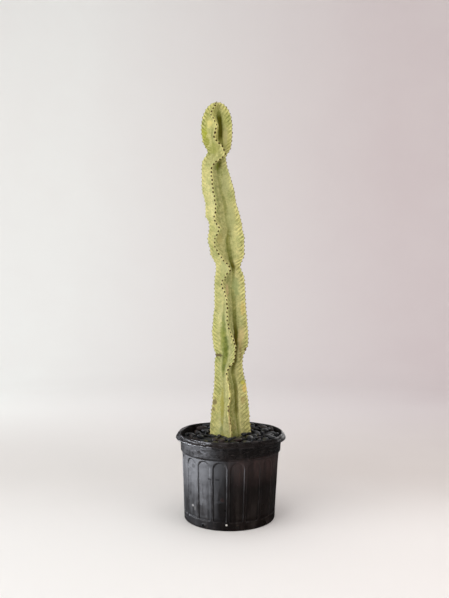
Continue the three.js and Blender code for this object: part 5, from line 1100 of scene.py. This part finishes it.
# ------------------------------------------------------------------------ pot
def pot_material():
    n = Nodes("pot_black_polyethylene")
    xyz = n.xyz(n.obj)
    big, mid, fine = n.noise(6.5, 3, 0.5), n.noise(48.0, 4, 0.6), n.noise(520.0, 4, 0.6)
    # water and dust have run down the wall: noise drawn out along z
    run_at = n.vec("MULTIPLY", n.obj, (1.0, 1.0, 0.07))
    run = n.noise(120.0, 4, 0.6, at=run_at)
    run2 = n.noise(46.0, 3, 0.55, at=run_at)
    c = n.mix(n.range(big, 0.3, 0.7), srgb(17, 13, 12), srgb(27, 21, 19))
    dust = n.math("MULTIPLY", n.range(run2, 0.46, 0.72), n.range(mid, 0.35, 0.65, 0.3, 1.0))
    foot = n.range(xyz[2], 0.055, 0.004)
    head = n.range(xyz[2], 0.232, 0.250, 0.10, 0.12)
    amount = n.math("MAXIMUM", n.math("MULTIPLY", foot, 0.40), head)
    amount = n.math("MAXIMUM", amount, 0.14)
    dust = n.math("MULTIPLY", dust, amount)
    c = n.mix(dust, c, srgb(84, 76, 72))
    drip = n.math("MULTIPLY", n.range(run, 0.60, 0.74), 0.16)
    c = n.mix(drip, c, srgb(62, 54, 54))
    # painted shade: near black just inside the edges of the recesses; rib edges and the rolled lip rubbed paler, partly
    # painted highlight
    rec, rib = n.attr("recess"), n.attr("edge")
    c = n.mix(n.math("MULTIPLY", rec, 0.6), c, srgb(6, 6, 7))
    c = n.mix(n.math("MULTIPLY", rib, n.range(mid, 0.42, 0.62, 0.04, 0.30)), c, srgb(96, 94, 96))
    # scuffs on the lip and band
    scuff_at = n.vec("MULTIPLY", n.obj, (1.0, 1.0, 3.4))
    scuff = n.math("MULTIPLY", n.range(n.noise(62.0, 5, 0.7, at=scuff_at), 0.60, 0.68), n.range(xyz[2], 0.225, 0.285))
    c = n.mix(n.math("MULTIPLY", scuff, 0.22), c, srgb(132, 130, 130))
    speck = n.math("MULTIPLY", n.range(n.cells(62.0), 0.050, 0.036), n.range(n.noise(9.0, 2), 0.58, 0.66))
    c = n.mix(n.math("MULTIPLY", speck, 0.7), c, srgb(170, 166, 160))
    for centre, radii, colour, amount in POT_MARKS:
        c = n.mix(n.math("MULTIPLY", n.blob(centre, radii), amount), c, srgb(*colour))
    # painted reflection: a brown cast on the upper wall towards the right
    brown_reflection = n.math("MULTIPLY", n.range(xyz[0], -0.045, 0.03), n.range(xyz[2], 0.128, 0.215))
    brown_reflection = n.math("MULTIPLY", brown_reflection, n.math("MULTIPLY", n.range(xyz[2], 0.250, 0.225), n.range(run2, 0.36, 0.60, 0.45, 1.0)))
    c = n.mix(n.math("MULTIPLY", brown_reflection, n.range(run, 0.42, 0.60, 0.50, 1.0)), c, srgb(66, 44, 40))
    n.surface(Base_Color=c)
    inner = n.attr("inner")
    rough = n.range(mid, 0.3, 0.7, 0.29, 0.38, ease=False)
    rough = n.math("ADD", rough, n.math("MULTIPLY", n.range(xyz[2], 0.06, 0.20, 0.0, 0.15), n.range(xyz[2], 0.240, 0.234)))
    rough = n.math("SUBTRACT", rough, n.range(xyz[2], 0.234, 0.240, 0.0, 0.04))
    rough = n.math("ADD", rough, n.range(xyz[2], 0.276, 0.286, 0.0, 0.02))
    rough = n.math("ADD", rough, n.range(xyz[2], 0.044, 0.034, 0.0, 0.10))
    below = n.range(xyz[2], 0.236, 0.230)
    rough = n.math("ADD", rough, n.math("MULTIPLY", below, n.range(run, 0.40, 0.62, -0.03, 0.06)))
    rough = n.math("ADD", rough, n.math("MULTIPLY", n.range(n.noise(21.0, 4, 0.6), 0.52, 0.66), 0.08))
    # above the step it is wrinkled along the rim
    hoops = n.noise(58.0, 4, 0.6, at=n.vec("MULTIPLY", n.obj, (0.45, 0.45, 3.0)))
    above = n.math("SUBTRACT", 1.0, n.math("MAXIMUM", below, inner))
    rough = n.math("ADD", rough, n.math("MULTIPLY", above, n.range(hoops, 0.40, 0.60, -0.06, 0.14)))
    for centre, radii, amount in POT_DULL:
        rough = n.math("ADD", rough, n.math("MULTIPLY", n.blob(centre, radii), amount))
    rough = n.math("ADD", rough, n.math("MULTIPLY", dust, 0.30))
    rough = n.math("ADD", rough, n.math("MULTIPLY", drip, 0.25))
    rough = n.math("ADD", rough, n.math("MULTIPLY", inner, 0.36))
    n.surface(Roughness=rough)
    shine = n.math("MULTIPLY", n.range(xyz[2], 0.276, 0.286, 0.80, 0.55), n.range(n.math("MULTIPLY", above, hoops), 0.44, 0.56, 1.0, 0.35))
    shine = n.math("MULTIPLY", shine, n.range(xyz[2], 0.044, 0.034, 1.0, 0.30))
    shine = n.math("MULTIPLY", shine, n.range(xyz[2], 0.237, 0.243, 1.0, 0.84))
    # rubbed dull low down
    shine = n.math("MULTIPLY", shine, n.range(xyz[2], 0.130, 0.060, 1.0, 0.82))
    worn = n.math("MULTIPLY", n.range(xyz[0], -0.085, 0.02), n.range(xyz[2], 0.210, 0.135))
    shine = n.math("MULTIPLY", shine, n.math("SUBTRACT", 1.0, n.math("MULTIPLY", worn, 0.70)))
    n.surface(Specular_IOR_Level=shine)
    b = n.bump(n.noise(34.0, 3, 0.5), 0.34, 0.0026)
    lip = n.math("MULTIPLY", n.math("SUBTRACT", 1.0, inner), n.range(xyz[2], 0.278, 0.286))
    crinkle = n.math("MULTIPLY", n.noise(80.0, 3, 0.5, at=n.vec("MULTIPLY", n.obj, (0.40, 0.40, 2.2))), lip)
    b = n.bump(crinkle, 0.85, 0.0034, b)
    wall = n.range(xyz[2], 0.232, 0.238, 1.0, 0.25)
    b = n.bump(n.math("MULTIPLY", wall, n.noise(160.0, 3, 0.5, at=n.vec("MULTIPLY", n.obj, (1.0, 1.0, 0.35)))), 0.24, 0.0008, b)
    b = n.bump(fine, 0.10, 0.0003, b)
    n.surface(Normal=b)
    return n.m


POT_MARKS = [
    # painted highlight: a white glint at the foot, below a rib
    ((-16, -160, 21), (4.2, 20, 4.2), (214, 211, 206), 0.95),
    ((-130, -103, 68), (4.6, 24, 5.0), (190, 190, 190), 0.80),
    ((-122, -112, 60), (3.5, 20, 9.0), (120, 118, 116), 0.5),
    # painted shade: near black in two dents high up and in the fold low on the front left
    ((-46, -160, 171), (8, 24, 3.6), (6, 6, 7), 0.85),
    ((-72, -150, 171), (6, 24, 2.8), (6, 6, 7), 0.75),
    ((-36, -160, 96), (13, 24, 3.5), (6, 6, 7), 0.75),
    ((-30, -160, 104), (8, 24, 9), (58, 34, 32), 0.5),
]


# where the sheen is broken: scrapes and dents
POT_DULL = [
    ((-46, -160, 171), (10, 24, 4.0), 0.6),
    ((-72, -150, 171), (8, 24, 3.2), 0.6),
    ((-70, -150, 158), (4, 24, 16), 0.4),
    ((-36, -160, 96), (15, 24, 4.0), 0.5),
    ((-52, -160, 118), (9, 24, 26), 0.25),
    ((-112, -120, 150), (5, 24, 30), 0.30),
    ((-100, -130, 100), (6, 24, 26), 0.25),
    ((-128, -110, 205), (9, 24, 10), 0.30),
    ((-60, -160, 240), (30, 24, 4), 0.40),
    ((-92, -150, 262), (14, 24, 6), 0.35),
]


def make_pot(material):
    """The blow-moulded shell: outside with arched recesses, lip, inside, floor."""
    per = 28
    body = lambda z: BODY_R0 + (BODY_R1 - BODY_R0) * (z - 10) / (SHOULDER_Z - 10)
    step = 360.0 / PANELS
    # columns crowd together at the rib edges
    c0 = np.array([0.0, 0.7, 1.15, 1.45, 1.75, 2.05, 2.5, 3.2])
    c1 = np.linspace(4.1, 15.9, per - 15)
    cols_deg = np.concatenate([c0, c1, 20 - c0[:0:-1]])
    per = len(cols_deg)
    phi = np.concatenate([cols_deg + k * step for k in range(PANELS)])
    cols = len(phi)
    a = (phi + PHASE) * DEG
    u = np.abs((phi % step) - step / 2)                  # degrees from the panel's middle
    sa, ca = np.sin(a), -np.cos(a)
    half = 8.3
    rows = []                                            # (r per column, z per column)
    attrs = {"recess": [], "edge": []}

    def row(r, z, rec=0.0, edge=0.0):
        rows.append((np.broadcast_to(np.asarray(r, float), (cols,)).copy(), np.broadcast_to(np.asarray(z, float), (cols,)).copy()))
        attrs["recess"].append(np.broadcast_to(np.asarray(rec, float), (cols,)).copy())
        attrs["edge"].append(np.broadcast_to(np.asarray(edge, float), (cols,)).copy())

    def panel(z):
        """Depth of the recess at height z, and its two edge masks."""
        mm = body(z) * DEG
        side = (half - u) * mm                           # inside when positive
        zs = PANEL_Z1 - ARCH_H
        if z > zs:                                       # distance to the arch's ellipse, nearly
            h, w = ARCH_H, half * mm
            k = np.sqrt((u * mm / w) ** 2 + ((z - zs) / h) ** 2)
            g = np.sqrt((u * mm / w**2) ** 2 + ((z - zs) / h**2) ** 2) / np.maximum(k, 1e-6)
            d = (1 - k) / np.maximum(g, 1e-6)
        else:
            d = side
        low = (z - PANEL_Z0) * 0.8
        r0 = 4.0                                         # rounded lower corners
        corner = (side < r0) & (low < r0)
        d = np.where(corner, r0 - np.hypot(r0 - side, r0 - low), np.minimum(d, low))
        depth = PANEL_DEPTH * smooth(-0.5, 1.7, d)
        return depth, np.exp(-(((d - 1.9) / 0.8) ** 2)), np.exp(-(((d + 0.7) / 0.75) ** 2))

    # floor ring and foot
    row(FOOT_IN - 6, 5.0)
    row(FOOT_IN - 4.5, 4.2); row(FOOT_IN - 1.4, 0.9); row(FOOT_IN, 0.0)
    row(139, 0.0); row(FOOT_R - 0.4, 0.0)
    row(FOOT_R + 1.0, 0.2); row(FOOT_R + 2.1, 0.9); row(FOOT_R + 2.8, 2.1)
    row(body(5) - 0.1, 4.6)
    hole_z = [6.5, 8.2, 10.0, 11.8, 13.6, 15.5]
    out_first = len(rows)
    for z in hole_z:
        row(body(z), z)
    for z in (18, 21, 24, 26.5):
        row(body(z), z, 0, 0.0)
    zz = list(np.arange(27.8, 36.6, 0.8)) + list(np.linspace(38, 197, 24)) + list(np.arange(200, 231.4, 0.95)) + [232.3]
    for z in zz:
        dep, ins, rim = panel(z)
        row(body(z) - dep, z, ins, rim)
    # step out to the band, band, lip
    for r, z, e in [(170.5, 233.4, 0), (170.9, 234.5, 0.1), (171.8, 235.8, 0.15), (172.9, 236.5, 0.2), (174.1, 236.9, 0.3), (175.0, 237.6, 0.5), (175.6, 238.8, 0.6), (175.8, 240.6, 0.35)]:
        row(r, z, 0.0, e)
    for z in np.linspace(243, 287, 12):
        row(175.8 + 2.0 * (z - 240.2) / 47.8, z, smooth(280, 287, z) * 0.7)
    for r, z, e in [(178.3, 289.8, 0), (179.4, 291.0, 0), (181.0, 291.5, 0), (182.8, 290.9, 0), (184.6, 289.4, 0), (186.8, 287.0, 0), (189.2, 284.2, 0), (191.2, 281.9, 0.1), (192.0, 281.0, 0.3), (192.7, 280.6, 0.7), (193.4, 280.7, 0.9), (193.9, 281.3, 0.9), (194.0, 282.1, 0.6),
                    (193.6, 283.2, 0.25), (192.4, 285.0, 0.15), (190.6, 287.3, 0.15), (188.7, 289.8, 0.15), (186.7, 292.4, 0.2), (184.8, 294.9, 0.3), (183.3, 296.8, 0.45), (182.0, 298.1, 0.7), (180.6, 298.6, 0.8), (179.4, 298.2, 0.8), (178.4, 297.2, 0.6), (177.6, 295.6, 0.2), (177.0, 293.4, 0)]:
        row(r, z, 0.0, e)
    n_lip = len(rows)
    for r, z in [(176.2, 291.2), (175.6, 283), (175.2, 273), (174.7, 262), (174.2, 251), (173.8, 243), (173.4, 241.2), (172.6, 239.9), (170.6, 238.6), (168.2, 237.4), (166.8, 235.8), (166.1, 233.4)]:
        row(r, z)
    for z in (200, 150, 100, 60, 35, 22):
        row(body(z) - 4.3, z)
    in_first = len(rows)
    for z in hole_z[::-1]:
        row(body(z) - 4.3 if z >= 9 else 155.0, z)
    row(154.9, 3.0); row(154.1, 2.1); row(139, 2.1); row(FOOT_IN + 1, 2.1); row(FOOT_IN - 2, 4.6); row(FOOT_IN - 5, 7.1)

    R = np.array([r for r, _ in rows]); Z = np.array([z for _, z in rows])
    n_rows = len(rows)
    # real pots are a little out of true: lip and band waver, the body less
    ang = a[None, :] * np.ones((n_rows, 1))
    hgt = smooth(40, 292, Z)
    R = R + hgt * (0.55 * np.sin(2 * ang + 0.7) + 0.35 * np.sin(3 * ang + 2.0) + 0.2 * np.sin(7 * ang))
    lipw = smooth(269, 291, Z)
    Z = Z + lipw * (0.7 * np.sin(3 * ang + 1.2) + 0.45 * np.sin(5 * ang + 0.4) + 0.2 * np.sin(11 * ang + 2))
    P = np.stack([R * sa, R * ca, Z], -1)
    q = P.reshape(-1, 3)
    # the lip is wrinkled: long low creases along it
    hoop = np.stack([ang * 60, Z * 5.5, np.zeros_like(Z)], -1).reshape(-1, 3)
    lip = (smooth(284, 287, Z) * smooth(176.5, 179, R)).ravel()
    crease = waves(np.stack([60 * np.sin(ang).ravel(), 60 * np.cos(ang).ravel(), hoop[:, 1]], -1), 30, 51, 3)
    dent = waves(q, 70, 77, 3) * np.where((Z > 30) & (Z < 296), 0.45, 0.0).ravel()
    rad = np.stack([np.tile(sa, n_rows), np.tile(ca, n_rows), np.zeros(n_rows * cols)], -1)
    # a horizontal fold in one panel low on the front left
    fold = np.exp(-(((q[:, 2] - 96 - 2.2 * np.sin(q[:, 0] / 9)) / 3.0) ** 2)) * smooth(26, 14, np.abs(q[:, 0] + 37)) * (q[:, 1] < 0)
    dent = dent + 1.7 * lip * np.clip(crease * 1.8, -1, 1) - 1.1 * fold * (R.ravel() > body(80) - 4)
    q = q + rad * dent[:, None]
    # slots in the wall: drop the same cells outside and inside, and line the cut
    faces = grid_faces(n_rows, cols).reshape(n_rows - 1, cols, 4)
    keep = np.ones((n_rows - 1, cols), bool)
    lining = []
    nh = len(hole_z)
    for k in range(0, PANELS, 2):
        mid = (k + 0.5) * step
        inside = [i for i in range(cols) if abs(phi[i] - mid) < 3.05]
        c_lo, c_hi = inside[0], inside[-1]
        keep[out_first:out_first + nh - 1, c_lo:c_hi] = False
        keep[in_first:in_first + nh - 1, c_lo:c_hi] = False
        o = lambda r, c: (out_first + r) * cols + c
        i_ = lambda r, c: (in_first + (nh - 1 - r)) * cols + c
        loop = [(0, c) for c in range(c_lo, c_hi)] + [(r, c_hi) for r in range(nh - 1)] + [(nh - 1, c) for c in range(c_hi, c_lo, -1)] + [(r, c_lo) for r in range(nh - 1, 0, -1)]
        for (r1, k1), (r2, k2) in zip(loop, loop[1:] + loop[:1]):
            lining.append((o(r2, k2), o(r1, k1), i_(r1, k1), i_(r2, k2)))
    faces = [tuple(f) for f in faces[keep]] + lining
    # floor, under side and upper side, with round drain holes
    disc_r = FOOT_IN - 6
    centres = [(0.0, 0.0, 12.0)] + [(62 * math.sin((k * 60 + 20) * DEG), -62 * math.cos((k * 60 + 20) * DEG), 8.0) for k in range(6)]
    under = list(range(cols))
    over = list(range((n_rows - 1) * cols, n_rows * cols))
    pts = [Vector((q[i][0], q[i][1])) for i in under]
    loops = [list(range(cols))]
    for x, y, r in centres:
        s = len(pts)
        pts += [Vector((x + r * math.cos(t), y + r * math.sin(t))) for t in np.arange(28) / 28 * 2 * math.pi]
        loops.append(list(range(s, s + 28)))
    for r in (30, 46, 80, 97):
        for t in np.arange(int(r * 0.6)) / int(r * 0.6) * 2 * math.pi:
            x, y = r * math.cos(t), r * math.sin(t)
            if all(math.hypot(x - cx, y - cy) > cr + 3 for cx, cy, cr in centres):
                pts.append(Vector((x, y)))
    edges = [(l[i], l[(i + 1) % len(l)]) for l in loops for i in range(len(l))]
    vs, _, fs, orig, *_ = geometry.delaunay_2d_cdt(pts, edges, [], 0, 1e-6)
    centre_of = lambda f: sum((vs[i] for i in f), Vector((0, 0))) / len(f)
    keepf = []
    for f in fs:
        c = centre_of(f)
        if c.length < disc_r and all((c - Vector((x, y))).length > r * 0.985 for x, y, r in centres):
            keepf.append(f)
    extra = []
    lo_id, hi_id = {}, {}
    for i, v in enumerate(vs):
        src = orig[i][0] if orig[i] else -1
        if 0 <= src < cols:
            lo_id[i], hi_id[i] = under[src], over[src]
        else:
            lo_id[i] = len(q) + len(extra); extra.append((v[0], v[1], 5.0))
            hi_id[i] = len(q) + len(extra); extra.append((v[0], v[1], 7.1))
    for f in keepf:
        area = sum(vs[f[i]][0] * vs[f[(i + 1) % len(f)]][1] - vs[f[(i + 1) % len(f)]][0] * vs[f[i]][1] for i in range(len(f)))
        g = list(f) if area > 0 else list(f)[::-1]
        faces.append(tuple(lo_id[i] for i in g[::-1]))
        faces.append(tuple(hi_id[i] for i in g))
    back = {orig[i][0]: i for i in range(len(vs)) if orig[i]}
    for l in loops[1:]:
        for i in range(len(l)):
            p, r = back[l[i]], back[l[(i + 1) % len(l)]]
            faces.append((lo_id[p], lo_id[r], hi_id[r], hi_id[p]))
    attrs["inner"] = [np.full(cols, float(i > n_lip)) for i in range(n_rows)]
    q = np.concatenate([q, np.array(extra)])
    q[:, 0] += LEAN * (q[:, 2] - POT_H) / POT_H
    pad = np.zeros(len(extra))
    data = {k: np.concatenate([np.array(v).ravel(), pad]) for k, v in attrs.items()}
    return make("pot_shell", q, faces, data, material)


# ------------------------------------------------------------- floor and light
def make_stage():
    """A pale floor that curves up, well away from the plant, into a backdrop."""
    n = Nodes("studio_pale")
    r = n.vec("LENGTH", n.vec("MULTIPLY", n.obj, (1.0, 1.0, 0.0)))
    p = n.xyz(n.obj)
    # painted light and shade: the floor and backdrop are paler to the left and darker to the right and behind the pot
    side = n.range(p[0], -1.7, 1.9, ease=False)
    near = n.range(p[1], 0.6, -0.3)
    back = n.range(p[1], 0.5, 2.3)
    ground = n.mix(n.range(p[0], -0.8, 0.9), n.mix(near, srgb(222, 220, 217), srgb(231, 230, 228)), n.mix(near, srgb(217, 210, 206), srgb(240, 236, 233)))
    c = n.mix(back, ground, n.mix(side, srgb(245, 247, 245), srgb(222, 212, 213)))
    c = n.mix(n.math("MULTIPLY", n.range(n.noise(2.2, 3), 0.3, 0.7), 0.10), c, srgb(236, 232, 230))
    n.surface(Base_Color=c)
    n.bsdf.inputs["Roughness"].default_value = 0.9
    n.bsdf.inputs["Specular IOR Level"].default_value = 0.0
    n.surface(Normal=n.bump(n.noise(60.0, 3), 0.05, 0.001))
    cols = 96
    prof = [(0, 0), (0.4, 0), (1, 0), (2, 0), (3.4, 0)]
    for i in range(1, 15):
        t = i / 14 * 90 * DEG
        prof.append((3.4 + 2.2 * math.sin(t), 2.2 * (1 - math.cos(t))))
    prof += [(5.6, 4.2), (5.6, 7.0)]
    co = [[0, 0, -0.05]]
    for rr, z in prof[1:]:
        for k in range(cols):
            t = 2 * math.pi * k / cols
            co.append([rr * math.cos(t) * 1000, rr * math.sin(t) * 1000, z * 1000 - 0.05])
    faces = [(0, 1 + k, 1 + (k + 1) % cols) for k in range(cols)]
    for i in range(len(prof) - 2):
        for k in range(cols):
            a, b = 1 + i * cols + k, 1 + i * cols + (k + 1) % cols
            faces.append((a, a + cols, b + cols, b))
    floor = make("studio_floor", co, faces, None, n.m)
    floor.visible_glossy = False


def area_light(name, at, aim, size, power, colour=(1, 1, 1), size_y=None):
    d = bpy.data.lights.new(name, "AREA")
    d.energy, d.color = power, colour
    d.shape = "RECTANGLE"
    d.size, d.size_y = size, size_y or size
    o = bpy.data.objects.new(name, d)
    bpy.context.scene.collection.objects.link(o)
    o.location = at
    o.rotation_mode = "QUATERNION"
    o.rotation_quaternion = (Vector(aim) - Vector(at)).to_track_quat("-Z", "Y")
    return o


def make_lights():
    # soft daylight from a wide window on the left
    key = area_light("window_left", (-2.6, -2.1, 1.9), (0, 0, 0.6), 4.0, 74, (1.0, 0.995, 0.98), 2.4)
    key.visible_glossy = False
    # what the polish mirrors of that window
    gleam = area_light("window_gleam", (-2.8, -0.35, 0.33), (0, 0, 0.15), 5.1, 340, (0.93, 0.96, 1.05), 0.56)
    gleam.visible_diffuse = False
    top = area_light("sky_above", (0.2, -0.6, 4.2), (0, 0, 0.3), 3.2, 30, (0.98, 0.985, 1.0))
    top.visible_glossy = False
    high = area_light("ceiling_gleam", (-0.9, 1.2, 3.4), (0, 0, 0.3), 1.6, 6, (0.97, 0.98, 1.0))
    high.visible_diffuse = False
    fill = area_light("fill_right", (3.2, -2.2, 1.6), (0, 0, 0.6), 2.4, 28, (1.0, 0.96, 0.95))
    fill.visible_glossy = False
    low = area_light("far_right_gleam", (1.5, 2.7, 1.1), (0, 0, 0.3), 2.4, 20, (1.0, 0.98, 0.98))
    low.visible_diffuse = False
    low.visible_camera = False
    wash = area_light("backdrop_wash", (-2.6, 1.2, 2.2), (-2.4, 6.0, 1.4), 2.2, 13, (1.0, 1.0, 0.99))
    wash.visible_glossy = False
    wash.visible_camera = False
    w = bpy.data.worlds.new("studio_air")
    bpy.context.scene.world = w
    w.use_nodes = True
    t = w.node_tree
    bg = t.nodes["Background"]
    bg.inputs["Color"].default_value = (0.95, 0.95, 0.965, 1)
    path = t.nodes.new("ShaderNodeLightPath")
    k = t.nodes.new("ShaderNodeMapRange")
    t.links.new(path.outputs["Is Glossy Ray"], k.inputs["Value"])
    k.inputs["To Min"].default_value, k.inputs["To Max"].default_value = 0.85, 0.075
    t.links.new(k.outputs["Result"], bg.inputs["Strength"])


def make_camera():
    d = bpy.data.cameras.new("camera")
    d.lens = 40.15
    d.sensor_width = 36.0
    d.sensor_fit = "AUTO"
    d.clip_start, d.clip_end = 0.05, 60
    o = bpy.data.objects.new("camera", d)
    bpy.context.scene.collection.objects.link(o)
    o.location = (-0.0224, -2.352, 0.798)
    o.rotation_euler = ((90 - 0.773) * DEG, 0, 0)
    bpy.context.scene.camera = o


make_camera()
make_lights()
make_stage()
sc = bpy.context.scene
sc.view_settings.view_transform = "Standard"
sc.view_settings.look = "None"
sc.view_settings.exposure = 0.0

pot = make_pot(pot_material())
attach(pot, "root"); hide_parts("nursery_pot")
soil = make_soil(soil_material())
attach(soil, "root"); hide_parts("potting_soil")
stem, teeth = make_stem(stem_material())
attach(stem, "root"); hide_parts("stem")
spines = make_spines(teeth, spine_material())
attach(spines, "root")
make_stones(stone_material())
